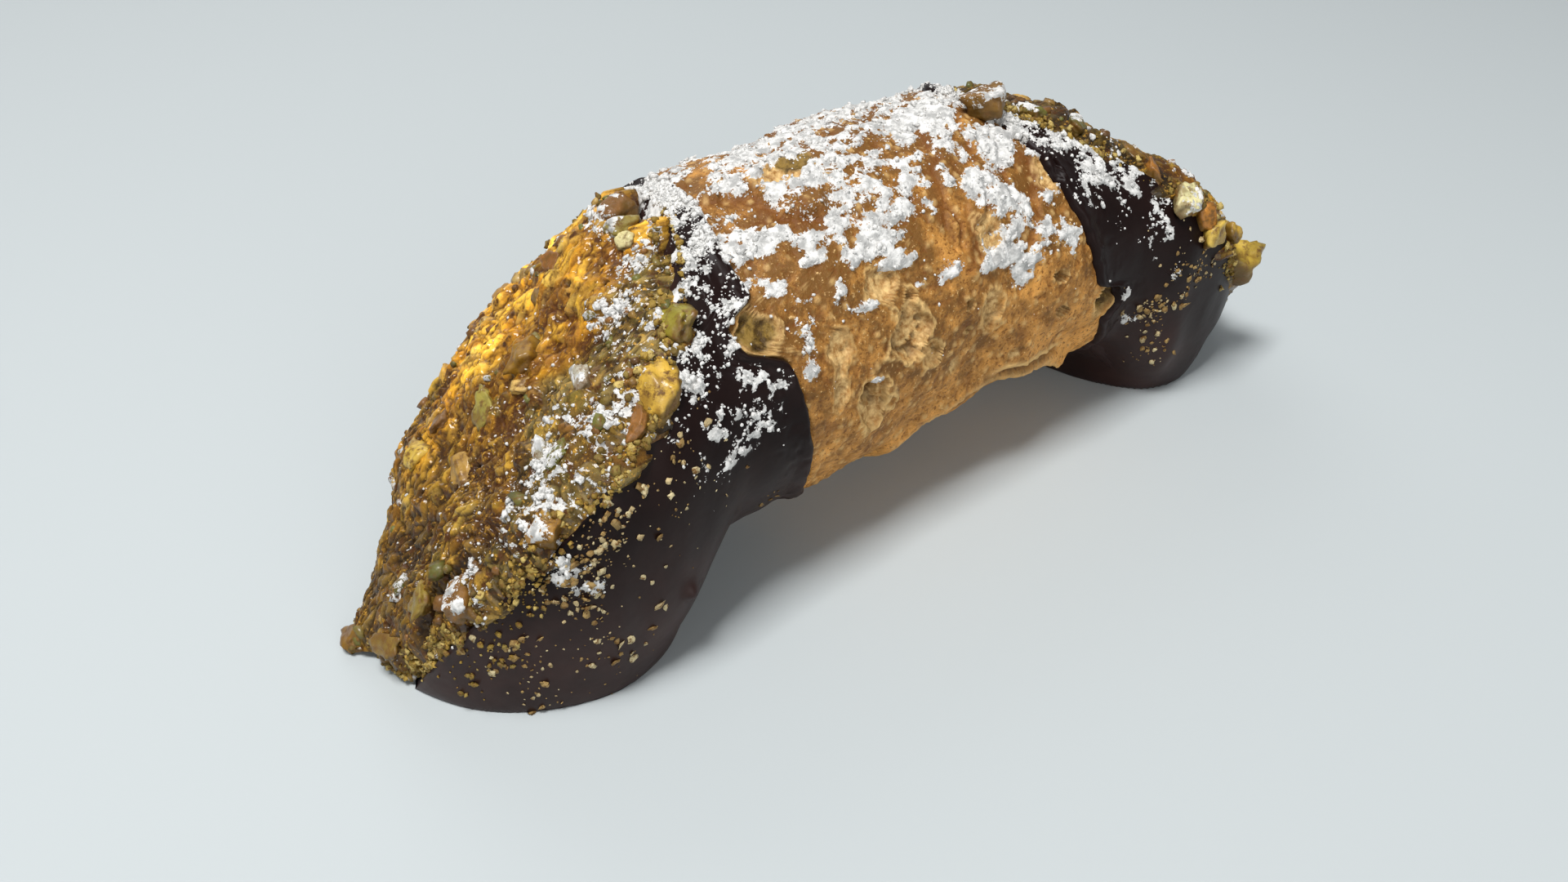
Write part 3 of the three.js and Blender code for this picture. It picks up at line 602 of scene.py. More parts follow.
# %% What the chocolate shows
CHOCOLATE_GRID = Named(along=230, around=340, lip=5)
CHOCOLATE_FACE = CHOCOLATE_GRID.along * CHOCOLATE_GRID.around  # points of its outer side
TEETH = [(0.45, 3.2), (0.25, 1.2)]  # height and size of the dip line's unevenness, mm
EDGE = 0.9  # how far from its dip line the chocolate is rounded, mm
BACK_ROWS = [(0.08, WALL), (0.35, 1.1), (0.7, 1.1), (0.98, 1.1)]  # share of the way back, depth in mm
KNOB = np.array([-34.6, -19.4, 9.6])  # a drip that set on the inner side of the left foot
CHOCOLATE_SUGAR = {  # by side: at, angle, length, height in mm, how well covered
    -1: [
        (-28.3, 143, 3.4, 8, 1.1), (-31, 129, 3.4, 6, 1.0), (-34, 118, 3.4, 5, 0.9), (-29, 172, 9, 8, 0.8),
        (-26.4, 154, 8, 9, 0.75), (-24.5, 140, 7, 6, 0.75), (-25, 128, 6, 5, 0.7), (-28.5, 140, 5, 7, 0.7),
        (-30, 120, 4.5, 4.5, 0.7), (-24, 116, 5, 4, 0.7), (-21.8, 110, 4, 3, 0.6),
        (-29.5, 106, 4.4, 3.4, 0.85), (-27.5, 95, 5.5, 3.2, 0.8), (-23.6, 97, 3, 2, 0.6),
        (-24, 104, 6, 5, 0.3), (-32, 97, 6, 6, 0.22), (-27, -172, 9, 10, 0.7), (-28, -150, 8, 10, 0.6),
        (-26, -128, 6, 6, 0.4), (-47.8, 84, 3.0, 2.6, 1.1), (-45.8, 76.5, 2.6, 1.8, 0.9),
        (-30, 88, 8, 8, 0.10), (-21.5, 178, 6, 9, 1.1), (-21.5, 160, 5, 6, 1.0), (-21, -165, 6, 8, 1.0),
    ],
    1: [
        (24, 160, 8, 6, 1.1), (27, 148, 8, 5, 1.1), (21, 176, 7, 12, 1.1), (30, 136, 7, 5, 0.85),
        (34.5, 122, 5, 4, 0.8), (37.5, 112, 4, 3, 0.5), (28, 126, 8, 5, 0.45), (24, 176, 8, 7, 0.7),
        (33, 108, 9, 8, 0.10), (38.8, 86, 2, 2.4, 0.9), (37.3, 104, 2, 5, 0.7), (35.5, 96, 2, 3, 0.5),
        (34.5, 66, 1.6, 1.6, 1.0), (34, 62.5, 1.2, 1.2, 1.0), (31.8, 79, 1.2, 1.4, 1.0),
        (33.5, 138, 4, 7, 1.1), (36.5, 127, 3, 5, 1.0), (25, -165, 8, 9, 0.6), (30, -140, 8, 8, 0.5),
    ],
}
print(sum(map(len, CHOCOLATE_SUGAR.values())), "patches of sugar on the chocolate")


# %% Build the dipped ends
def chocolate_relief(end, out, angle, point, dip):
    """Height over the dipped surface: the dough's own relief, fading with the distance from the dip
    line, a bead along it, and soft runs down the sides."""
    away = out - dip
    bead = 0.35 * bump(away - 0.9, 1.0)
    under = dough_relief(end.side * out, np.degrees(angle), point).height
    runs = 0.22 * clouds(point * [1, 0.45, 0.45], 5, 21, 2)
    return 0.8 * under * (1 - rise(0.5, 7, away)) + bead + runs * rise(0, 3, away)


def painted_chocolate_shade(end, share, turn, point):
    """The painted shade on the chocolate, from 0 to 1, where it is also less glossy: at the mouth's
    front, on top, and further in at the right.
    """
    painted_shade = rise(0.80, 0.97, share + 0.06 * clouds(point, 2.5, 23, 2)) * bump(wrapped(turn, 95), 32)
    painted_shade = np.maximum(painted_shade, 0.7 * rise(8, 22, point[..., 2]))
    return np.maximum(painted_shade, 0.6 * rise(0.35, 0.7, share)) if end is RIGHT else painted_shade


def chocolate_end(end, name, node, dusting):
    """The dipped end: rows run from the dip line out to the mouth, then round the lip and back. Dusting
    is the share of a patch that sugar covers."""
    angles = np.linspace(0, 2 * np.pi, CHOCOLATE_GRID.around, endpoint=False)
    dip = dip_line(end, angles)
    line = dough_base(end.side * dip, angles, 0)
    dip = dip + sum(tall * clouds(line, size, 22) for tall, size in TEETH)
    mouth = run_out(end, angles, -PROUD)
    share = np.linspace(0, 1, CHOCOLATE_GRID.along)[:, None] ** 1.1
    out = dip + (mouth - dip) * share
    turn = np.broadcast_to(angles, out.shape)
    plain = dipped_point(end, out, turn, 0)
    cover = covered(end.side * out, np.degrees(turn), CHOCOLATE_SUGAR[end.side])
    level, sugar = sugar_layer(plain, dusting * cover, 41 + end.side, 0.8)
    height = chocolate_relief(end, out, turn, plain, dip) * (1 - rise(0.93, 1, share))
    edge = np.sqrt(1 - (1 - np.clip((out - dip) / EDGE, 0, 1)) ** 2)
    raised = (PROUD + height) * edge - 0.7 * (1 - edge) + sugar
    ground = rise(0.2, 3.0, plain[..., 2])
    skin = dipped_point(end, out, turn, -(PROUD * (1 - ground) + raised * ground))
    if end is LEFT:
        skin[..., 1] -= 1.1 * bump(np.linalg.norm(skin - KNOB, axis=-1), 1.0)
    skin[..., 2] = np.maximum(skin[..., 2], 0)
    steps = np.arange(1, CHOCOLATE_GRID.lip + 1)
    lip = [mouth_row(end, angles, WALL * k / CHOCOLATE_GRID.lip, 0.2) for k in steps]
    back = [dipped_point(end, mouth * (1 - t) + dip * t, angles, inset) for t, inset in BACK_ROWS]
    points = np.concatenate([skin, lip, back])
    bare = np.full((len(back), len(angles)), -1.0)
    level = np.concatenate([level, level[-1] - 0.15 * steps[:, None], bare])
    # The painted shade travels as a mark that the finish reads.
    painted_shade = np.pad(painted_chocolate_shade(end, share, np.degrees(turn), plain), ((0, len(lip) + len(back)), (0, 0)))
    faces = grid_faces(len(points), len(angles), loop_rows=True)
    piece = make_piece(name, points, faces, {"sugar": level, "painted_shade": painted_shade})
    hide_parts(node)
    return piece


chocolate_left = chocolate_end(LEFT, "chocolate_dip_left", "chocolate_left", 0.62)
chocolate_right = chocolate_end(RIGHT, "chocolate_dip_right", "chocolate_right", 0.74)

# %% [markdown]
# ## The pistachio cream
#
# The cream that stands out of each mouth is coarse nut paste under a glaze of syrup: lumps of a few
# millimetres packed together, with pores and small dark gaps. Sculpting it by hand would be slow and
# could not be run again. Cells of three sizes make the lumps, and each cell has its own colour. The grid
# is a square bent into a disc, which keeps its faces even from the middle to the rim.

# %% What the cream shows, in shares of the face's half height and half width
CREAM_GRID = 300
CREAM_FACE = CREAM_GRID**2  # points of a pillow's face
CREASE = Named(  # from the bottom of the face to its top
    up=[-0.95, -0.84, -0.70, -0.55, -0.30, -0.08, 0.06, 0.14, 0.25, 0.28, 0.44, 0.60, 0.71, 0.95],
    front=[0.50, 0.48, 0.49, 0.57, 0.72, 0.70, 0.50, 0.29, 0.16, 0.04, -0.08, -0.17, -0.40, -0.60],
    depth=1.0, slot=4.0, width=0.045,
)
AMBER_EDGE = Named(  # up to here from the far side the paste is amber, and olive beyond it
    up=[-1.0, -0.26, -0.13, -0.02, 0.08, 0.13, 0.25, 0.38, 0.62, 0.76, 0.95],
    front=[1.0, 0.86, 0.78, 0.71, 0.56, 0.37, 0.22, 0.24, 0.30, 0.21, 0.13],
)
CROWN = Named(front=-0.25, up=0.85, size=0.35, height=2.2)  # a swell at the top of the left face
TOE = Named(front=-0.22, up=-0.94, size=0.24, height=0.8, reach=4.2)  # the paste pushed out over the ground
EDGE_ANGLES = np.linspace(0, 2 * np.pi, 721)
PLUG = [(0.01, 2.4), (0.12, 3.6), (0.25, 6.0)]  # rows inside the tube: share of the way in, depth in mm
CREAM_SUGAR = {  # by side: across (20 at the rim), up (60 at the rim), length, height, how well covered
    -1: [
        (7.8, 44, 4.5, 5, 0.8), (11.5, 47, 5, 7, 0.75), (4.4, 52, 3, 4, 0.7), (3.5, 57, 4, 4, 1.0),
        (14.5, 38, 4, 8, 0.65), (17, 28, 4, 7, 0.55), (10.2, 19, 3, 5, 0.9), (13.5, 24, 2.5, 6, 0.5),
        (15.6, 22.5, 3.6, 6, 0.85), (13, 11.5, 4, 6, 0.9), (16.8, 15.5, 4, 6, 0.9), (16, 6.5, 4.5, 7, 1.0),
        (13, 5.5, 2.5, 5, 0.85), (17.6, 2, 3, 4, 0.9), (15.2, -24, 3.4, 5, 1.0), (17, -20, 2, 3, 0.5),
        (-4, 54, 6, 3, 0.5),
    ],
    1: [
        (2, 54, 9, 4, 0.5), (12, 46, 5, 4, 0.6), (17, 22, 4, 4, 0.6), (-8, 50, 8, 4, 0.4),
        (6, 30, 8, 8, 0.2),
    ],
}
print("cream: a face of", CREAM_FACE, "points")


# %% Colours of the paste
def srgb(code):
    """A hex colour as three linear numbers."""
    value = np.array([int(code[k:k + 2], 16) for k in (1, 3, 5)]) / 255
    return np.where(value <= 0.04045, value / 12.92, ((value + 0.055) / 1.055) ** 2.4)


def mixed(a, b, share):
    """Colour a, turning into colour b as share goes from 0 to 1."""
    return a + (b - a) * np.asarray(share)[..., None]


# dark and rust are the colours of the painted shade in the valleys, folds and pores.
PASTE = {name: srgb(code) for name, code in {
    "amber": "#B9801A", "gold": "#D9A534", "brown": "#6A4414", "olive": "#6C5A22", "khaki": "#897440",
    "low": "#70521A", "dark": "#241504", "rust": "#502808", "green": "#6C6C22", "pale": "#C9A850",
    "tan": "#A06C2A", "honey": "#E2B24A",
}.items()}
# The colour of the lumps whose random number is more than this, each over the one before.
LUMP_COLOURS = [(0.62, "brown"), (0.72, "tan"), (0.82, "green"), (0.90, "gold"), (0.95, "pale")]
print("paste:", ", ".join(PASTE))


# %% The pillow of cream at a mouth
def disc_grid(count):
    """A square grid bent into a disc, ring by ring: share of the radius and angle of each point."""
    u, v = np.meshgrid(np.linspace(-1, 1, count), np.linspace(-1, 1, count), indexing="ij")
    wide = np.abs(u) > np.abs(v)
    share = np.where(wide, u, v)
    with np.errstate(divide="ignore", invalid="ignore"):
        angle = np.where(wide, np.pi / 4 * v / u, np.pi / 2 - np.pi / 4 * u / v)
    angle = np.where(share == 0, 0, angle)
    return np.abs(share), np.where(share < 0, angle + np.pi, angle)


def pillow_base(end, share, angle):
    """The plain pillow: the mouth's edge shrunk towards its middle, on the slanted face, and domed by
    1 - share^6 in the outward direction."""
    edge = mouth_row(end, EDGE_ANGLES, CREAM.inset, -CREAM.gap - CREAM.edge)
    around = np.mod(angle, 2 * np.pi)
    circle = 19 * np.stack([np.sin(angle), np.cos(angle), 0 * angle], -1)
    ragged = 0.02 + 0.025 * np.sin(9 * angle + 3 * np.sin(4 * angle)) + 0.05 * clouds(circle, 1.6, 50, 3)
    brim = 0.045 * bump(wrapped(np.degrees(angle), 135), 30)
    spill = 1 + (ragged + brim) * share**6
    y = share * spill * np.interp(around, EDGE_ANGLES, edge[:, 1])
    z = MOUTH.height + share * spill * (np.interp(around, EDGE_ANGLES, edge[:, 2]) - MOUTH.height)
    up = -share * np.cos(angle)
    tall = (end.pillow[0] - end.pillow[1] * up) * (1 - share**6)
    x = end.side * (mouth_reach(end, y, z) + CREAM.gap + CREAM.edge)
    return np.stack([x, y, z], -1) + tall[..., None] * outward_of(end)


print("points on the rim of a pillow:", int((disc_grid(CREAM_GRID)[0] == 1).sum()))


# %% The paste's parts, height and colour
def paste_parts(end, base, share, up, front):
    """What the paste has at each point: folds that run down the face, two sizes of grains, round lumps in
    about a third of the cells, pores, a crease with a slot in it, and the toe over the ground. Also how
    warm its colour is, how deep in shadow it lies, and how far it has melted."""
    p = Named(share=share, up=up, front=front)
    drawn = np.stack([18 * front, 14 * up, 0 * up], -1) + 0.9 * clouds(base, 2.0, 66, 2)[..., None]
    p.folds = clouds(drawn, 2.4, 51, 3)
    (p.coarse, p.coarse_id), (p.fine, p.fine_id) = packed(drawn, 1.15, 54), packed(drawn, 0.6, 69)
    lump, _, p.lump_id = pebbles(base, 3.0, 52)
    round_lump = np.clip(1 - ((lump + 0.12 * clouds(base, 1.4, 53, 2)) / 0.58) ** 2, 0, 1)
    p.lump = np.sqrt(round_lump) * (p.lump_id > 0.62)
    pore, _, pore_id = pebbles(base, 2.6, 55)
    p.pores = (1 - rise(0.12, 0.20, pore + 0.05 * clouds(base, 0.8, 56))) * (pore_id < 0.4)
    p.shadow = rise(0.1, 0.8, up + 0.35 * clouds(base, 4, 58, 2))
    p.melted = rise(-0.1, 0.5, up)
    p.tone = 0.5 + 0.35 * clouds(base, 3.4, 63, 2) + 0.30 * clouds(drawn, 1.5, 64, 2)
    if end is LEFT:
        winding = clouds(base, 4, 57, 2)
        past = front - np.interp(up, AMBER_EDGE.up, AMBER_EDGE.front) + 0.06 * winding
        p.warm = 1 - rise(-0.06, 0.10, past)
        from_crease = front - np.interp(up, CREASE.up, CREASE.front) + 0.03 * winding
        p.slot = bump(up + 0.73, 0.12) * bump(from_crease, 0.06)
        p.groove = bump(from_crease, CREASE.width) * rise(0.6, 0, up)
        p.toe = bump(np.hypot(front - TOE.front, up - TOE.up), TOE.size)
    else:
        # On the right, the paste turns from amber to olive under the painted shadow.
        p.warm = 1 - 0.8 * p.shadow
        p.slot = p.groove = p.toe = 0 * share
    return p


def paste_height(end, base, p):
    """Height over the pillow in mm: the sum of soft swells, folds, lumps and grains, less the pores and
    the crease, turned down at the rim."""
    height = (0.7 * clouds(base, 7, 59, 2) + 0.9 * p.share**10 * clouds(base, 1.3, 68, 2) + 0.55 * p.folds
              + 0.7 * p.lump * (0.45 + 0.55 * (1 - p.warm))
              + (0.30 + 0.25 * p.coarse_id) * p.coarse * (1 - 0.5 * p.melted) + 0.16 * p.fine
              - 0.45 + 0.10 * clouds(base, 0.7, 60) - 0.7 * p.pores)
    height = height * (1 - 0.5 * p.share**8)
    height = height - (CREASE.depth * p.groove + CREASE.slot * p.slot) * (1 - p.share**6)
    bent = np.clip(1 - p.toe - 0.85 * rise(-0.2, 0.4, p.up) * rise(0.5, 0.1, p.front), 0, 1)
    height = height + TOE.height * p.toe - 1.3 * rise(0.90, 1, p.share) ** 2 * bent
    if end is LEFT:
        crown = bump(np.hypot(p.front - CROWN.front, p.up - CROWN.up), CROWN.size)
        height = height + CROWN.height * crown
    return height


def paste_colour(end, base, p):
    """Each point's colour: amber on one side and olive on the other, each lump and grain with its own
    tint, lighter towards the top, painted light on the far side, painted shade in the valleys, folds,
    pores, the slot and the crease, and at the right end painted shadow towards the top."""
    tone = p.tone
    amber = mixed(mixed(PASTE["amber"], PASTE["gold"], rise(0.40, 0.70, tone)), PASTE["brown"],
                  0.7 * rise(0.42, 0.15, tone))
    olive = mixed(mixed(PASTE["olive"], PASTE["khaki"], rise(0.4, 0.7, tone)), PASTE["brown"],
                  0.7 * rise(0.4, 0.2, tone))
    warm = np.clip(p.warm, 0, 1)
    lit = rise(0.75, 1, p.share) * rise(0.1, -0.5, p.front) * rise(-0.7, -0.2, p.up)
    layers = [("low", 0.75 * rise(0.0, -0.6, p.up))]
    layers += [(kind, 0.5 * rise(0.05, 0.35, p.lump) * (p.lump_id > least)) for least, kind in LUMP_COLOURS]
    layers += [("honey", 0.55 * lit + 0.40 * rise(0.75, 1, p.coarse) * rise(0.45, 0.75, tone)),
               ("brown", 0.6 * (1 - 0.4 * p.melted) * (p.coarse_id < 0.30) + 0.25 * (p.fine_id < 0.3)),
               ("khaki", 0.45 * (p.coarse_id > 0.86))]
    colour = mixed(olive, amber, warm)
    for kind, share in layers:
        colour = mixed(colour, PASTE[kind], share)
    # Painted light: the far side is made lighter where the light falls on it.
    painted_light_far_side = rise(-0.2, -0.5, p.front) * rise(-0.8, -0.3, p.up) * rise(0.8, 0.4, p.up)
    colour = colour * (0.70 + 0.60 * rise(0.15, 0.6, p.up) + painted_light_far_side)[..., None]
    # Painted shade: the valleys between grains and the troughs of the folds turn to a dark colour.
    valley = (1 - rise(0.25, 0.80, 0.7 * p.coarse + 0.3 * p.fine)) * (1 - 0.35 * p.melted)
    folded = 1 - rise(-0.9, 0.4, p.folds + 0.5 * clouds(base, 1.1, 65, 2))
    deep = mixed(PASTE["dark"], PASTE["rust"], warm * rise(-0.5, 0.3, p.up))
    colour = mixed(colour * 1.2, deep, np.clip(0.88 * valley + 0.62 * folded, 0, 0.95))
    if end is RIGHT:
        colour = colour * (1 - 0.78 * p.shadow)[..., None]
    # Painted shade: near black in the pores, the slot and the crease.
    return mixed(colour, PASTE["dark"], np.clip(0.9 * p.pores + 0.95 * p.slot + 0.3 * p.groove, 0, 1))


print("share of the lumps that are raised and tinted:", round(1 - LUMP_COLOURS[0][0], 2))


# %% Build the cream at both mouths
def border_of(grid):
    """The values along a square grid's four sides, once round."""
    return np.concatenate([grid[0, :-1], grid[:-1, -1], grid[-1, :0:-1], grid[:0:-1, 0]])


def plugged(end, skin):
    """The face's points and those of a plug behind it: rows inside the tube that close on one point.
    Also the four-sided faces, the last row's three-sided ones, and the indices of the border."""
    ring = border_of(skin)
    middle = ring.mean(0)
    rows = []
    for inward, depth in PLUG:
        row = ring + (middle - ring) * (inward + 0.012 * clouds(ring, 0.9, 67)[:, None])
        row = row - [end.side * depth, 0, 0]
        row[:, 2] = np.maximum(row[:, 2], CREAM.floor)
        rows.append(row)
    pole = middle - [end.side * PLUG[-1][1], 0, 0]
    points = np.concatenate([skin.reshape(-1, 3), *rows, pole[None]])
    index = np.arange(CREAM_FACE).reshape(CREAM_GRID, CREAM_GRID)
    top = np.stack([index[:-1, :-1], index[1:, :-1], index[1:, 1:], index[:-1, 1:]], -1).reshape(-1, 4)
    border = border_of(index)
    loops = [border] + [CREAM_FACE + len(ring) * k + np.arange(len(ring)) for k in range(len(rows))]
    sides = [np.stack([a, np.roll(a, -1), np.roll(b, -1), b], -1) for a, b in zip(loops, loops[1:])]
    cap = np.stack([loops[-1], np.roll(loops[-1], -1), np.full(len(ring), len(points) - 1)], -1)
    return points, np.concatenate([top, *sides]), cap, border


def cream_end(end, name, dusting):
    """One mouth's cream, closed at the back by a plug inside the tube. Also the share of the radius and
    the angle in degrees of each of its face's points."""
    share, angle = disc_grid(CREAM_GRID)
    base = pillow_base(end, share, angle)
    up, front = -share * np.cos(angle), share * np.sin(angle)
    parts = paste_parts(end, base, share, up, front)
    cover = covered(front * 20, up * 60, CREAM_SUGAR[end.side], 1 / 3)
    level, sugar = sugar_layer(base, dusting * cover, 61 + end.side, 0.7)
    skin = base + (paste_height(end, base, parts) + sugar)[..., None] * outward_of(end)
    skin[..., 0] -= TOE.reach * parts.toe * share**4
    skin[..., 2] = np.maximum(skin[..., 2], CREAM.floor + 0.3 * parts.lump_id)
    points, faces, cap, border = plugged(end, skin)
    colour = paste_colour(end, base, parts).reshape(-1, 3)
    # The plug's rows are painted a fifth darker than the rim, as shade inside the tube.
    paste = np.concatenate([colour, *[colour[border] * 0.8] * len(PLUG), PASTE["olive"][None]])
    level = np.pad(level.ravel(), (0, len(points) - CREAM_FACE), constant_values=-1)
    piece = make_piece(name, points, faces, {"paste": paste, "sugar": level}, cap)
    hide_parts("filling")
    return piece, (share.ravel(), np.degrees(angle.ravel()))


cream_left, cream_left_at = cream_end(LEFT, "pistachio_cream_left", 0.28)
cream_right, cream_right_at = cream_end(RIGHT, "pistachio_cream_right", 0.19)

# %% [markdown]
# ## Chopped nuts
#
# A knife leaves flat cuts and rounded corners. A ball whose radius is cut by random planes has just
# that: along each direction the nearest plane sets the distance, and a soft minimum rounds the corners.
# The same tool, with smaller balls and rougher skins, makes crumbs and clumps of sugar.

# %% Balls cut by planes
def ball(detail):
    """Directions and faces of an icosphere, or at detail 0 of a cube with each side in four, which has
    just 48 faces, for what is repeated by the hundred."""
    made = bmesh.new()
    if detail:
        bmesh.ops.create_icosphere(made, subdivisions=detail, radius=1)
    else:
        bmesh.ops.create_cube(made, size=1)
        bmesh.ops.subdivide_edges(made, edges=made.edges[:], cuts=1, use_grid_fill=True)
        bmesh.ops.triangulate(made, faces=made.faces[:])
    directions = np.array([v.co[:] for v in made.verts])
    faces = np.array([[v.index for v in f.verts] for f in made.faces])
    made.free()
    return directions / np.linalg.norm(directions, axis=1)[:, None], faces


def turned(random, normals, lean, upright):
    """A rotation for each normal: z goes to the normal, leaned a little. The turn about it is random, or
    near to level where upright is large."""
    z = normals + lean * random.normal(size=normals.shape)
    z /= np.linalg.norm(z, axis=1)[:, None]
    side = random.normal(size=normals.shape) + upright * np.array([0, 0, 1])
    x = np.cross(side, z)
    x /= np.linalg.norm(x, axis=1)[:, None]
    return np.stack([x, np.cross(z, x), z], -1)


def chopped(seed, centres, normals, sizes, floor, detail, cuts, soft, rough=0.0, lean=0.25, upright=0.0):
    """Pieces at centres (mm), each length, width and thickness across, and none below the floor. The
    radius along a direction d is the soft minimum over its planes of h / (n . d), with random n and h."""
    random = np.random.default_rng(seed)
    directions, faces = ball(detail)
    count = len(centres)
    planes = random.normal(size=(count, cuts, 3))
    box = np.concatenate([np.eye(3), -np.eye(3)]) + 0.25 * random.normal(size=(count, 6, 3))
    planes = np.concatenate([box, planes], 1)
    planes /= np.linalg.norm(planes, axis=2)[:, :, None]
    box_heights = 0.8 + 0.15 * random.random((count, 6))
    heights = np.concatenate([box_heights, 0.95 + 0.3 * random.random((count, cuts))], 1)
    toward = np.maximum(np.einsum("vk,cnk->cvn", directions, planes), 0) / heights[:, None, :]
    shape = directions * ((toward**soft).sum(-1) ** (-1 / soft))[..., None]
    if rough:
        spot = shape + 3 * random.random((count, 1, 3)) * LATTICE
        shape = shape * (1 + rough * clouds(spot, 0.55, seed, 3))[..., None]
    shape = shape * (sizes[:, None, :] / 2)
    turns = turned(random, normals, lean, upright)
    points = np.einsum("cij,cvj->cvi", turns, shape) + centres[:, None, :]
    points[..., 2] = np.maximum(points[..., 2], floor)
    every = faces + (np.arange(count) * len(directions))[:, None, None]
    return points, every.reshape(-1, 3)


def joined(groups):
    """The like arrays of all groups, one after another."""
    return [np.concatenate(arrays) for arrays in zip(*groups)]


print("faces of a ball at detail 0, 1 and 4:", *(len(ball(detail)[1]) for detail in (0, 1, 4)))

# %% Where the nuts lie
LEFT_NUTS = [  # share of the way to the rim, angle, size in mm, colour, 1 where sugar lies on it
    (0.97, 144, (5.4, 3.8, 1.6), "#8E822A", 0), (0.99, 128, (4.8, 4.4, 2.2), "#C9A13E", 0),
    (0.18, -13, (5.4, 3.0, 2.6), "#A98238", 0), (0.61, -54, (3.6, 3.2, 2.6), "#CDAA44", 0),
    (0.33, -173, (3.4, 3.2, 3.0), "#8E681C", 0), (0.27, 160, (3.2, 1.8, 1.6), "#C9A45C", 0),
    (0.12, -111, (3.8, 2.8, 1.6), "#94863A", 0), (0.70, 134, (3.4, 2.4, 1.4), "#B3AC98", 1),
    (0.97, -168, (4.4, 3.2, 2.6), "#7C5428", 1), (0.99, -176, (4.4, 3.2, 2.4), "#8E7E40", 1),
    (0.90, 176, (2.4, 2.2, 1.6), "#D2C690", 0), (0.91, 58, (4.2, 3.2, 2.6), "#80581C", 1),
    (0.93, 95, (4.6, 2.8, 2.0), "#A0742C", 1), (0.97, 121, (2.6, 2.2, 1.6), "#8E5E2A", 0),
    (1.0, -14, (4.0, 2.6, 2.2), "#805C1C", 0), (0.74, 112, (2.8, 2.2, 1.4), "#66662A", 1),
    (0.62, 110, (2.4, 1.8, 1.2), "#A8A28C", 1), (0.85, -84, (3.2, 2.8, 1.8), "#D0A040", 0),
    (0.88, -110, (3.0, 2.6, 1.6), "#A87A2A", 0), (0.72, -150, (2.6, 2.2, 1.6), "#8C5A24", 0),
    (0.50, -70, (3.0, 2.6, 1.4), "#7C5A34", 0), (0.80, 30, (3.2, 2.6, 1.6), "#8A7430", 0),
    (0.86, 8, (3.4, 2.6, 1.6), "#7E6428", 0),
]
RIM_NUTS = [  # those that overhang the right chocolate: at, angle, size, colour, sugared
    (40.9, 107.5, (4.8, 3.4, 2.8), "#DDD39C", 1), (43.6, 100, (2.8, 2.4, 2.0), "#B0742C", 0),
    (44.8, 93, (3.8, 3.0, 2.4), "#C8A84A", 0), (20.2, 168, (5.2, 4.4, 3.4), "#7A5822", 1),
]
RIGHT_NUTS = [  # as at the left
    (0.95, 73, (7.4, 6.0, 4.8), "#B09236", 0), (0.94, 90, (3.4, 2.8, 2.4), "#C09A3A", 0),
    (0.88, 130, (3.2, 2.6, 1.6), "#80601F", 0), (0.96, 125, (3.0, 2.4, 1.8), "#94601F", 0),
    (0.93, 150, (3.4, 2.4, 1.6), "#615A20", 1), (0.95, 164, (3.2, 2.4, 1.6), "#6A6426", 1),
    (0.60, 100, (4.0, 3.0, 2.2), "#B38A3C", 0), (0.35, 150, (3.8, 3.2, 2.4), "#9A6628", 0),
    (0.62, -160, (3.8, 2.8, 2.2), "#B89248", 0), (0.70, -120, (4.0, 3.0, 2.4), "#86842E", 0),
    (0.80, -80, (3.8, 3.0, 2.2), "#C0A050", 0), (0.60, -40, (3.6, 2.8, 2.2), "#8E5E22", 0),
    (0.85, -20, (3.6, 3.0, 2.2), "#A07A30", 0), (0.50, 40, (3.6, 2.8, 2.2), "#7C6C28", 0),
]
SUNK = 0.62  # share of a nut's thickness that is in the cream, and twice the share that is in a rim
print(len(LEFT_NUTS), "+", len(RIM_NUTS), "+", len(RIGHT_NUTS), "large nuts")


# %% Put the large nuts in place
def seated(spots, normals, sunk, nuts):
    """Centres, normals, sizes, colours and sugar of nuts at spots on a skin, each sunk by a share of its
    thickness."""
    sizes = np.array([size for _, _, size, _, _ in nuts])
    centres = spots + normals * sizes[:, 2:] * (0.5 - sunk)
    colours = np.array([srgb(code) for _, _, _, code, _ in nuts])
    return centres, normals, sizes, colours, np.array([sugared for *_, sugared in nuts])


def nuts_on_cream(end, piece, grid, nuts):
    """Nuts at the points of a pillow that are nearest to their share and angle. They face out of the
    mouth, and near the rim they lean outwards."""
    points, _ = skin_of(piece, CREAM_FACE)
    share, angle = grid
    across, up = share * np.sin(np.radians(angle)), share * np.cos(np.radians(angle))
    at = [np.argmin((across - s * math.sin(math.radians(a))) ** 2 + (up - s * math.cos(math.radians(a))) ** 2)
          for s, a, *_ in nuts]
    radial = points[at] - points.mean(0)
    radial /= np.linalg.norm(radial, axis=1)[:, None]
    rim = rise(0.75, 1, np.array([s for s, *_ in nuts]))[:, None]
    normals = outward_of(end) + 0.25 * rim * radial
    normals /= np.linalg.norm(normals, axis=1)[:, None]
    return seated(points[at], normals, SUNK, nuts)


def nuts_on_rim(piece, nuts):
    """Nuts on the highest skin near their place and angle."""
    points, normals = skin_of(piece)
    turn = angle_round(points)
    at = [np.argmin(np.hypot(points[:, 0] - x, wrapped(turn, a) * MM_PER_DEGREE) - normals[:, 2])
          for x, a, *_ in nuts]
    return seated(points[at], normals[at], SUNK / 2, nuts)


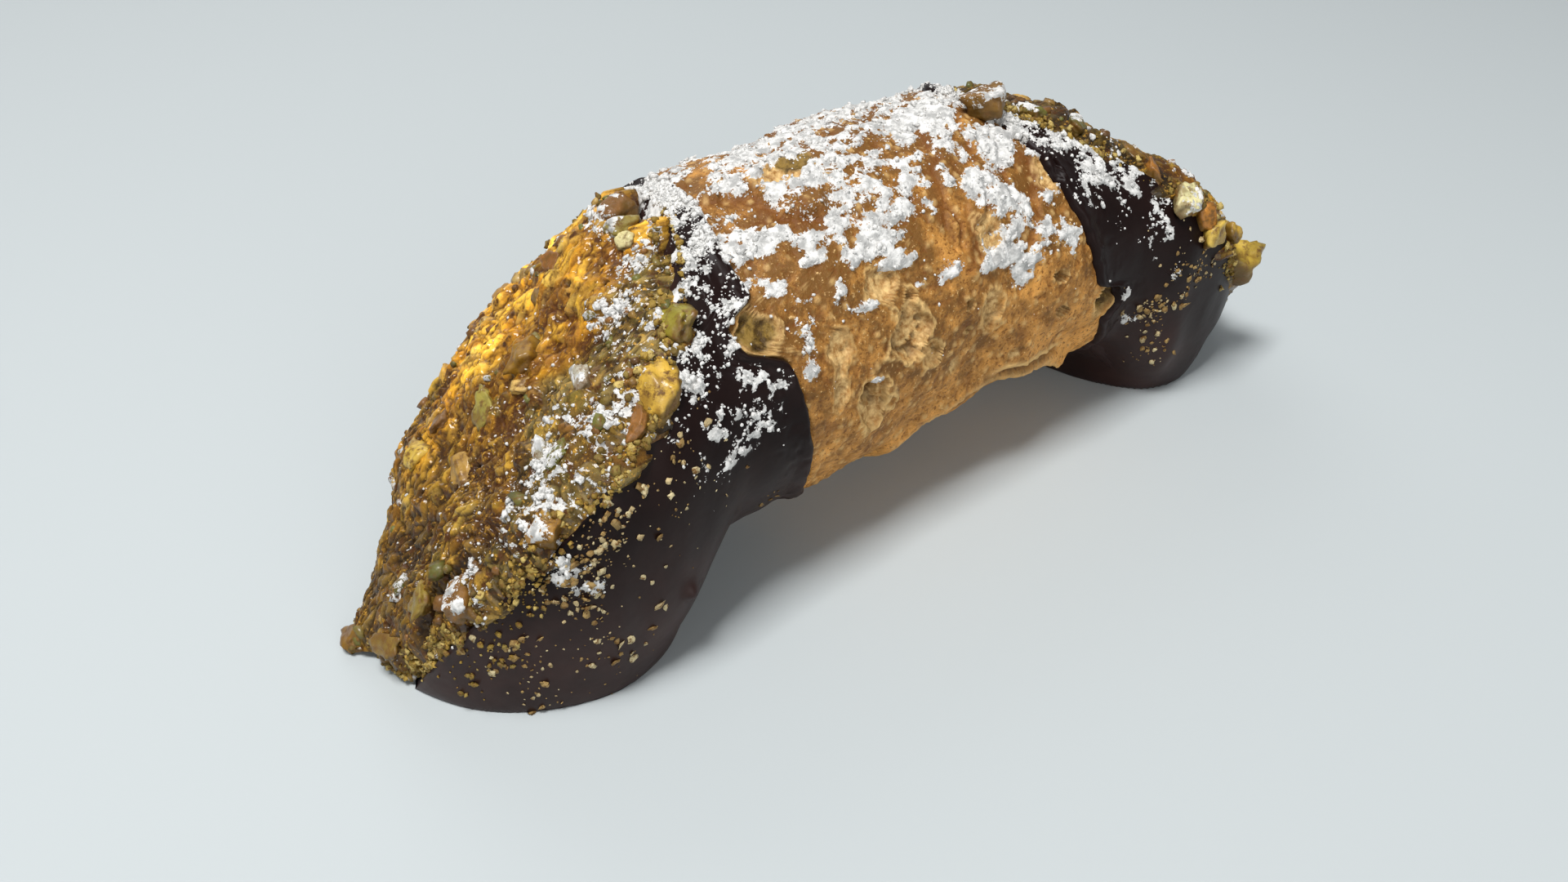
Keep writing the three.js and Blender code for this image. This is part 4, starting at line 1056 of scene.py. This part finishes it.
def nut_marks(points, centres, normals, sizes, colours, sugared):
    """Each point's colour: the nut's own, with patches of brown skin, and below its widest part the
    syrup's, darkened as painted shade where the nut meets the paste. And the level of sugar, highest
    on top of the nuts that are sugared."""
    lift = np.einsum("cvi,ci->cv", points - centres[:, None], normals) / (sizes[:, 2:] / 2)
    own = colours[:, None, :] * (1 + 0.22 * clouds(points, 0.9, 72, 2)[..., None])
    own = mixed(own, PASTE["brown"], 0.55 * rise(0.15, 0.5, clouds(points, 1.5, 73, 3)))
    # Below its widest part a nut takes the syrup's colour, darkened as painted shade where it meets the
    # paste.
    own = mixed(own, PASTE["low"] * 0.6, 0.85 * rise(0.45, -0.15, lift + 0.3 * clouds(points, 1.0, 74)))
    level = 0.9 * sugared[:, None] - 0.85 + 0.6 * (lift - 1) + 0.45 * clouds(points, 1.1, 75, 3)
    return {"paste": own, "sugar": level}


large = joined([nuts_on_cream(LEFT, cream_left, cream_left_at, LEFT_NUTS),
                nuts_on_cream(RIGHT, cream_right, cream_right_at, RIGHT_NUTS),
                nuts_on_rim(chocolate_right, RIM_NUTS)])
points, faces = chopped(71, *large[:3], CREAM.floor * 0.4, detail=4, cuts=7, soft=14, rough=0.16, upright=4)
nuts = make_piece("chopped_nuts", points, faces, nut_marks(points, *large))

# %% [markdown]
# ## Small nut pieces and crumbs
#
# Between the large nuts lie hundreds of small ones, and porous yellow crumbs stand along the rim, where
# the cream meets the chocolate. Each is a ball with few faces, put on a random point of the skin below
# it. Which points may be drawn is weighted, so that they are dense where the real ones are.

# %% Scatter small pieces on a skin
def scatter(seed, skin, weights, count, smallest, largest, flatness=0.75, sunk=0.3):
    """Centres, normals and sizes of small pieces on distinct random points of a skin, drawn in proportion
    to their weights. Most are small, as sizes follow the cube of chance."""
    random = np.random.default_rng(seed)
    points, normals = skin
    at = random.choice(len(weights), size=count, replace=False, p=weights / weights.sum())
    length = smallest + (largest - smallest) * random.random(count) ** 3
    sizes = length[:, None] * np.array([1, 0.85, flatness])
    centres = points[at] + normals[at] * (sizes[:, 2:] * (0.5 - sunk))
    return centres, normals[at], sizes


def small_pieces(name, seed, groups, floor, codes=(), sugared=0.0, **shape):
    """One mesh of all the groups' pieces, chopped. With codes of colours, each piece has a random one, a
    little lighter or darker. Sugared is the share of the pieces that carry sugar."""
    groups = joined(groups)
    points, faces = chopped(seed, *groups, floor, **shape)
    count = len(points)
    marks = {}
    if codes:
        random = np.random.default_rng(seed + 1)
        colours = np.array([srgb(code) for code in codes])[random.integers(len(codes), size=count)]
        marks["paste"] = colours * random.uniform(0.75, 1.2, (count, 1))
    if sugared:
        marks["sugar"] = np.where(np.random.default_rng(seed + 6).random(count) < sugared, 0.0, -1.0)
    marks = {mark: np.repeat(values, points.shape[1], axis=0) for mark, values in marks.items()}
    return make_piece(name, points, faces, marks)


CREAMS = [(cream_left, cream_left_at), (cream_right, cream_right_at)]
groups = []
for (piece, (share, _)), seed in zip(CREAMS, (81, 82)):
    near = 0.15 + rise(0.6, 0.95, share)
    groups.append(scatter(seed, skin_of(piece, CREAM_FACE), near, 110, 0.8, 2.0, sunk=0.62))
bits = small_pieces(
    "nut_bits", 83, groups, 0.2, ["#8C6C30", "#6E602C", "#7A5222", "#AC8E50", "#62602A", "#5C3F1E"],
    sugared=0.3, detail=0, cuts=5, soft=9, rough=0.08)

# %% Porous crumbs along both rims, on the cream and on the chocolate
groups = []
for (piece, (share, angle)), seed, count in zip(CREAMS, (85, 86), (950, 560)):
    points, normals = skin_of(piece, CREAM_FACE)
    front = rise(-0.3, 0.4, np.sin(np.radians(angle)))
    near = rise(0.90, 1, share) ** 2 * (0.15 + front) * rise(-0.6, 0.2, clouds(points, 3, seed))
    groups.append(scatter(seed, (points, normals), near, count, 0.35, 1.1, sunk=0.35))
for piece, seed, count in ((chocolate_left, 187, 300), (chocolate_right, 188, 220)):
    points, normals = skin_of(piece, CHOCOLATE_FACE)
    row = np.arange(CHOCOLATE_FACE) // CHOCOLATE_GRID.around / CHOCOLATE_GRID.along
    front = rise(-4, 6, -points[:, 1]) * rise(0.6, 3, points[:, 2])
    near = rise(0.80, 1.0, row) ** 3 * front * rise(-0.2, 0.6, clouds(points, 4, seed))
    groups.append(scatter(seed, (points, normals), near, count, 0.20, 0.8))
rim_crumbs = small_pieces(
    "rim_crumbs", 87, groups, 0.1, ["#A08236", "#866A28", "#BBA35E", "#6C5826", "#8C7638"],
    detail=0, cuts=5, soft=8, rough=0.45, lean=0.6)

# %% Tan crumbs of dough and nut on the chocolate
CRUMB_PATCHES = {  # by side: at, angle, spread in mm, how many
    -1: [
        (-43.2, 89, 1.6, 51), (-44.5, 84, 1.6, 33), (-46, 78, 1.8, 45), (-46.2, 68, 1.2, 33),
        (-49, 71, 1.8, 33), (-45.5, 60, 2.0, 15), (-43.5, 51, 2.5, 24), (-46.5, 49, 2.5, 18),
        (-53.5, 45, 2.2, 39), (-52, 40, 2.5, 27), (-49, 43, 3, 15), (-40, 62, 6, 21), (-40, 95, 5, 36),
        (-36, 104, 4, 30), (-22, 60, 1.5, 9), (-34, 85, 8, 24),
    ],
    1: [
        (37.2, 69, 1.3, 51), (40.6, 72, 1.0, 18), (43.2, 80.5, 1.2, 27), (38.8, 86, 1.4, 15),
        (38.5, 53, 1.6, 33), (37.3, 63.5, 1.2, 15), (34.5, 65, 1.0, 12), (46, 80, 2, 18), (41, 90, 6, 21),
    ],
}
groups = []
for piece, side in ((chocolate_left, -1), (chocolate_right, 1)):
    points, normals = skin_of(piece, CHOCOLATE_FACE)
    turn = angle_round(points)
    for k, (at, middle, spread, count) in enumerate(CRUMB_PATCHES[side]):
        near = bump(np.hypot(points[:, 0] - at, wrapped(turn, middle) * MM_PER_DEGREE), spread)
        seed = 90 + k + 40 * (side + 1)
        groups.append(scatter(seed, (points, normals), near, count, 0.16, 1.05, flatness=0.3))
crumbs = small_pieces(
    "pastry_crumbs", 91, groups, 0.05, ["#B9A478", "#A18450", "#C9B98E", "#8C7040"],
    detail=0, cuts=5, soft=8, rough=0.4, lean=0.3)

# %% Clumps and grains of icing sugar
CLUMPS = [(dough, 500), (chocolate_left, 420), (chocolate_right, 260), (cream_left, 200), (cream_right, 80)]
clumps, grains = [], []
for k, (piece, count) in enumerate(CLUMPS):
    points, normals = skin_of(piece)
    level = np.empty(len(points), np.float32)
    piece.data.attributes["sugar"].data.foreach_get("value", level)
    dusted = np.where(normals[:, 2] > -0.2, rise(-0.1, 0.3, level), 0)
    clumps.append(scatter(101 + k, (points, normals), dusted, count, 0.3, 1.0, flatness=0.55, sunk=0.45))
    near = rise(-0.9, -0.1, level) + 0.02 * rise(0.2, 0.9, normals[:, 2])
    near = np.where(normals[:, 2] > 0, near, 0)
    grains.append(scatter(111 + k, (points, normals), near, 3 * count, 0.12, 0.5, sunk=0.4))
clumps = small_pieces("sugar_clumps", 107, clumps, 0.05, detail=0, cuts=4, soft=6, rough=0.45, lean=0.5)
grains = small_pieces("sugar_grains", 108, grains, 0.05, detail=1, cuts=2, soft=6, lean=0.5)

# %% Every piece rides on the one body
SLOTS = {
    "fried_dough": [dough, crumbs], "dark_chocolate": [chocolate_left, chocolate_right],
    "nut_cream": [cream_left, cream_right, nuts, bits, rim_crumbs], "icing_sugar": [clumps, grains],
}
for body_slot, pieces in SLOTS.items():
    for piece in pieces:
        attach(piece, "root")
    print(body_slot, [piece.name for piece in pieces])
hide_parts("shell")

# %% [markdown]
# ## Finishes
#
# Every finish is a Principled shader. What changes over the surface is linked: the colour, from the
# marks and from noise at its real size in metres, and the bump. What is the same all over is typed into
# the shader. Icing sugar is a dull white powder that scatters all light, so where a skin carries sugar,
# its mark mixes a sugar shader over the finish below.

# %% Nodes
SMOOTH = {"interpolation_type": "SMOOTHSTEP"}  # a Map Range that turns smoothly from 0 at _1 to 1 at _2
COLOUR = {"data_type": "RGBA"}  # a Mix of the colours _6 and _7, by the share _0, with its result in place 2


def new_finish(name):
    """An empty node material."""
    material = bpy.data.materials.new(name)
    material.use_nodes = True
    material.node_tree.nodes.clear()
    return material


def add(material, kind, settings=None, output=0, **inputs):
    """Adds a node of this kind and returns one of its outputs. Settings are the node's own, and inputs
    are numbers, or outputs to link; _2 is the input in place 2."""
    node = material.node_tree.nodes.new(kind)
    for key, value in (settings or {}).items():
        setattr(node, key, value)
    for key, value in inputs.items():
        socket = node.inputs[int(key[1:])] if key[0] == "_" else node.inputs[key.replace("_", " ")]
        if isinstance(value, bpy.types.NodeSocket):
            material.node_tree.links.new(value, socket)
        else:
            socket.default_value = value
    return node.outputs[output] if len(node.outputs) else None


def paint(code):
    """A hex colour as a socket's four numbers."""
    return (*srgb(code), 1)


def turning(material, value, low, high, under, over, turn=SMOOTH, most=1.0):
    """One colour below low, turning into the other, or a share of it, above high."""
    share = add(material, "ShaderNodeMapRange", turn, Value=value, _1=low, _2=high, _4=most)
    return add(material, "ShaderNodeMix", COLOUR, 2, _0=share, _6=under, _7=over)


def marked(material, mark, under, over):
    """One colour, turning into the other where the mesh is marked."""
    share = add(material, "ShaderNodeAttribute", {"attribute_name": mark}, "Fac")
    return add(material, "ShaderNodeMix", COLOUR, 2, _0=share, _6=under, _7=over)


def powdered(material, shader, place, normal):
    """Mixes dull white icing sugar, with grey patches of painted shade, over a shader where the mesh is
    marked, with a ragged edge.
    """
    level = add(material, "ShaderNodeAttribute", {"attribute_name": "sugar"}, "Fac")
    fine = add(material, "ShaderNodeTexNoise", Vector=place, Scale=2200, Detail=4, Roughness=0.7)
    ragged = add(material, "ShaderNodeMath", {"operation": "MULTIPLY_ADD"}, _0=fine, _1=1.8, _2=level)
    cover = add(material, "ShaderNodeMapRange", SMOOTH, Value=ragged, _1=0.86, _2=0.94)
    clumped = add(material, "ShaderNodeTexNoise", Vector=place, Scale=900, Detail=3, Roughness=0.6)
    # Painted shade: grey patches among the white.
    white = turning(material, clumped, 0.35, 0.62, paint("#A8A7A4"), paint("#E2E0DC"))
    sugar = add(material, "ShaderNodeBsdfPrincipled", Base_Color=white, Normal=normal, Roughness=0.95,
                Specular_IOR_Level=0.2)
    return add(material, "ShaderNodeMixShader", _0=cover, _1=shader, _2=sugar)


def finished(material, place, colour, noise, strength, depth, sugared=True, **settings):
    """Ends a finish: a shader of this colour, with the noise as its bump, and sugar over it or not."""
    normal = add(material, "ShaderNodeBump", Strength=strength, Distance=depth, Height=noise)
    shader = add(material, "ShaderNodeBsdfPrincipled", Base_Color=colour, Normal=normal, **settings)
    if sugared:
        shader = powdered(material, shader, place, normal)
    add(material, "ShaderNodeOutputMaterial", Surface=shader)
    print(material.name, len(material.node_tree.nodes), "nodes")


print("a finish's white paint is", paint("#FFFFFF"))

# %% Fried dough: wheat dough browned in hot oil; matt, blistered, golden with darker toasted clouds
fried = new_finish("fried_wheat_dough")
place = add(fried, "ShaderNodeTexCoord", output="Object")
dough_tone = add(fried, "ShaderNodeAttribute", {"attribute_name": "dough_tone"}, "Fac")
mottle = add(fried, "ShaderNodeTexNoise", Vector=place, Scale=420, Detail=5, Roughness=0.7)
toast_and_painted_light = add(fried, "ShaderNodeMath", {"operation": "MULTIPLY_ADD"}, _0=mottle, _1=2.2, _2=dough_tone)
toast_and_painted_light = turning(fried, toast_and_painted_light, 1.25, 2.05, paint("#DA9B4C"), paint("#765022"), turn={})
pits = add(fried, "ShaderNodeTexNoise", Vector=place, Scale=2400, Detail=3, Roughness=0.6)
toast_and_painted_light = turning(fried, pits, 0.60, 0.74, toast_and_painted_light, paint("#DCB478"))
# Painted shade in the pits of the bump.
toast_and_painted_light = turning(fried, pits, 0.46, 0.35, toast_and_painted_light, paint("#744618"), most=0.85)
# The brown mark is painted shade under the flap and in creases, folds and pits.
toast_and_painted_light = marked(fried, "brown", toast_and_painted_light, paint("#6E3D14"))
# The pale mark is partly pale rims and bubbles, and partly painted highlights along the flap and the slit.
toast_and_painted_light = marked(fried, "pale", toast_and_painted_light, paint("#DDB676"))
inside = add(fried, "ShaderNodeTexNoise", Vector=place, Scale=1500, Detail=3, Roughness=0.6)
inside = turning(fried, inside, 0.32, 0.68, paint("#9A6C34"), paint("#E4C082"), turn={})
toast_and_painted_light = marked(fried, "crumb", toast_and_painted_light, inside)
glassy = turning(fried, mottle, 0.42, 0.60, paint("#483412"), paint("#8A6E34"))
toast_and_painted_light = marked(fried, "amber", toast_and_painted_light, glassy)
# The hole mark is painted shade in holes, cracks and the slit.
toast_and_painted_light = marked(fried, "hole", toast_and_painted_light, paint("#2A1408"))
finished(fried, place, toast_and_painted_light, pits, 0.6, 0.0003, Roughness=0.55, Specular_IOR_Level=0.28, IOR=1.45)

# %% Dark chocolate: tempered and set; nearly black with a satin skin that is slightly uneven
cocoa = new_finish("tempered_dark_chocolate")
place = add(cocoa, "ShaderNodeTexCoord", output="Object")
bloom_and_shade = add(cocoa, "ShaderNodeTexNoise", Vector=place, Scale=110, Detail=4, Roughness=0.6)
bloom_and_shade = turning(cocoa, bloom_and_shade, 0.35, 0.65, paint("#261512"), paint("#331F1B"))
painted_shade = add(cocoa, "ShaderNodeAttribute", {"attribute_name": "painted_shade"}, "Fac")
# Painted shade: the chocolate turns near black where it is marked.
bloom_and_shade = add(cocoa, "ShaderNodeMix", COLOUR, 2, _0=painted_shade, _6=bloom_and_shade, _7=paint("#0C0606"))
ripple = add(cocoa, "ShaderNodeTexNoise", Vector=place, Scale=350, Detail=2, Roughness=0.5)
# Where the shade is painted, the chocolate is also less glossy.
sheen = add(cocoa, "ShaderNodeMapRange", Value=painted_shade, _3=0.26, _4=0.07)
finished(cocoa, place, bloom_and_shade, ripple, 0.22, 0.0004, Roughness=0.42, Specular_IOR_Level=sheen, IOR=1.5)

# %% Pistachio cream: nut paste bound with syrup; translucent, wet, with many pin-point lights
glazed = new_finish("glazed_pistachio_paste")
place = add(glazed, "ShaderNodeTexCoord", output="Object")
paste = add(glazed, "ShaderNodeAttribute", {"attribute_name": "paste"}, "Color")
grainy = add(glazed, "ShaderNodeTexNoise", Vector=place, Scale=1700, Detail=4, Roughness=0.7)
paste = turning(glazed, grainy, 0.54, 0.72, paste, paint("#D29E3A"))
mottled = add(glazed, "ShaderNodeTexNoise", Vector=place, Scale=800, Detail=4, Roughness=0.6)
paste = turning(glazed, mottled, 0.52, 0.68, paste, paint("#4E2C0A"))
finished(glazed, place, paste, grainy, 0.7, 0.0004, Roughness=0.45, IOR=1.45, Specular_IOR_Level=0.16,
         Coat_Weight=0.42, Coat_Roughness=0.06, Subsurface_Weight=0.08, Subsurface_Scale=0.0012,
         Subsurface_Radius=(1.0, 0.8, 0.4))

# %% Chopped nuts under syrup: each piece its own colour; skinned and veined, slightly translucent
syruped = new_finish("syrup_coated_nut")
place = add(syruped, "ShaderNodeTexCoord", output="Object")
nut = add(syruped, "ShaderNodeAttribute", {"attribute_name": "paste"}, "Color")
veins = add(syruped, "ShaderNodeTexNoise", Vector=place, Scale=900, Detail=5, Roughness=0.7)
nut = turning(syruped, veins, 0.46, 0.66, nut, paint("#6C4A1E"))
finished(syruped, place, nut, veins, 0.6, 0.0003, Roughness=0.45, IOR=1.47, Specular_IOR_Level=0.35,
         Coat_Weight=0.25, Coat_Roughness=0.12, Subsurface_Weight=0.08, Subsurface_Scale=0.001,
         Subsurface_Radius=(1.0, 0.8, 0.5))

# %% Dry crumbs: broken dough and nut; matt and porous
dry = new_finish("dry_pastry_crumb")
place = add(dry, "ShaderNodeTexCoord", output="Object")
crumb = add(dry, "ShaderNodeAttribute", {"attribute_name": "paste"}, "Color")
porous = add(dry, "ShaderNodeTexNoise", Vector=place, Scale=2500, Detail=3, Roughness=0.6)
crumb = turning(dry, porous, 0.48, 0.66, crumb, paint("#6E4C1E"))
finished(dry, place, crumb, porous, 0.8, 0.0003, sugared=False, Roughness=0.65, Specular_IOR_Level=0.35)

# %% Icing sugar: sucrose ground to powder; dull, white, slightly blue in its shadows
icing = new_finish("ground_icing_sugar")
place = add(icing, "ShaderNodeTexCoord", output="Object")
powder = add(icing, "ShaderNodeTexNoise", Vector=place, Scale=3300, Detail=3, Roughness=0.6)
# Painted shade: grey patches among the white.
white = turning(icing, powder, 0.3, 0.62, paint("#B0AFAC"), paint("#E4E2DE"))
finished(icing, place, white, powder, 0.6, 0.0002, sugared=False, Roughness=0.95, Specular_IOR_Level=0.2)

# %% Dress the pieces
FINISHES = {
    fried: [dough], cocoa: [chocolate_left, chocolate_right], glazed: [cream_left, cream_right],
    syruped: [nuts, bits], dry: [rim_crumbs, crumbs], icing: [clumps, grains],
}
for finish, pieces in FINISHES.items():
    for piece in pieces:
        piece.data.materials.append(finish)
    print(finish.name, "on", [piece.name for piece in pieces])

# %% [markdown]
# ## Floor, light and camera
#
# A pale floor and broad soft light show the form without hard shadows. The camera looks down at the
# roll's front, from its left.

# %% The floor
SPAN = 5.0  # from its middle to each side, m
floor_mesh = bpy.data.meshes.new("floor")
corners = [(-SPAN, -SPAN, 0), (SPAN, -SPAN, 0), (SPAN, SPAN, 0), (-SPAN, SPAN, 0)]
floor_mesh.from_pydata(corners, [], [(0, 1, 2, 3)])
floor = bpy.data.objects.new("floor", floor_mesh)
bpy.context.scene.collection.objects.link(floor)
floor_finish = new_finish("pale_floor")
floor_shader = add(floor_finish, "ShaderNodeBsdfPrincipled", Base_Color=paint("#B9BFC0"), Roughness=0.8)
add(floor_finish, "ShaderNodeOutputMaterial", Surface=floor_shader)
floor_mesh.materials.append(floor_finish)
print("floor", 2 * SPAN, "m wide")


# %% Lamps and sky
def softbox(name, place, watts, size):
    """A square lamp that looks at the roll."""
    lamp = bpy.data.lights.new(name, "AREA")
    lamp.energy, lamp.size = watts, size
    lamp_object = bpy.data.objects.new(name, lamp)
    lamp_object.location = place
    lamp_object.rotation_mode = "QUATERNION"
    lamp_object.rotation_quaternion = (Vector((0, 0, 0.02)) - Vector(place)).to_track_quat("-Z", "Y")
    bpy.context.scene.collection.objects.link(lamp_object)
    print(name, watts, "W,", size, "m across")


softbox("key", (-0.20, -0.05, 0.62), 4.4, 0.20)
softbox("fill", (-0.15, -0.60, 0.25), 1.5, 0.5)
softbox("back", (0.15, 0.5, 0.35), 0.9, 0.5)
world = bpy.data.worlds.new("studio")
world.use_nodes = True
sky = world.node_tree.nodes["Background"].inputs
sky["Color"].default_value = (0.9, 0.95, 1.0, 1)
sky["Strength"].default_value = 0.24
bpy.context.scene.world = world
bpy.context.scene.view_settings.view_transform = "Standard"

# %% The camera
camera_data = bpy.data.cameras.new("camera")
camera_data.lens, camera_data.sensor_width, camera_data.clip_start = 31.875, 36, 0.01
camera = bpy.data.objects.new("camera", camera_data)
bpy.context.scene.collection.objects.link(camera)
TURN, TILT = math.radians(39.5), math.radians(36.5)
looking = Vector((math.sin(TURN) * math.cos(TILT), math.cos(TURN) * math.cos(TILT), -math.sin(TILT)))
camera.location = (-0.09558, -0.10461, 0.10453)
camera.rotation_mode = "QUATERNION"
camera.rotation_quaternion = looking.to_track_quat("-Z", "Y")
bpy.context.scene.camera = camera
print("camera", round(camera.location.length, 3), "m from the origin")
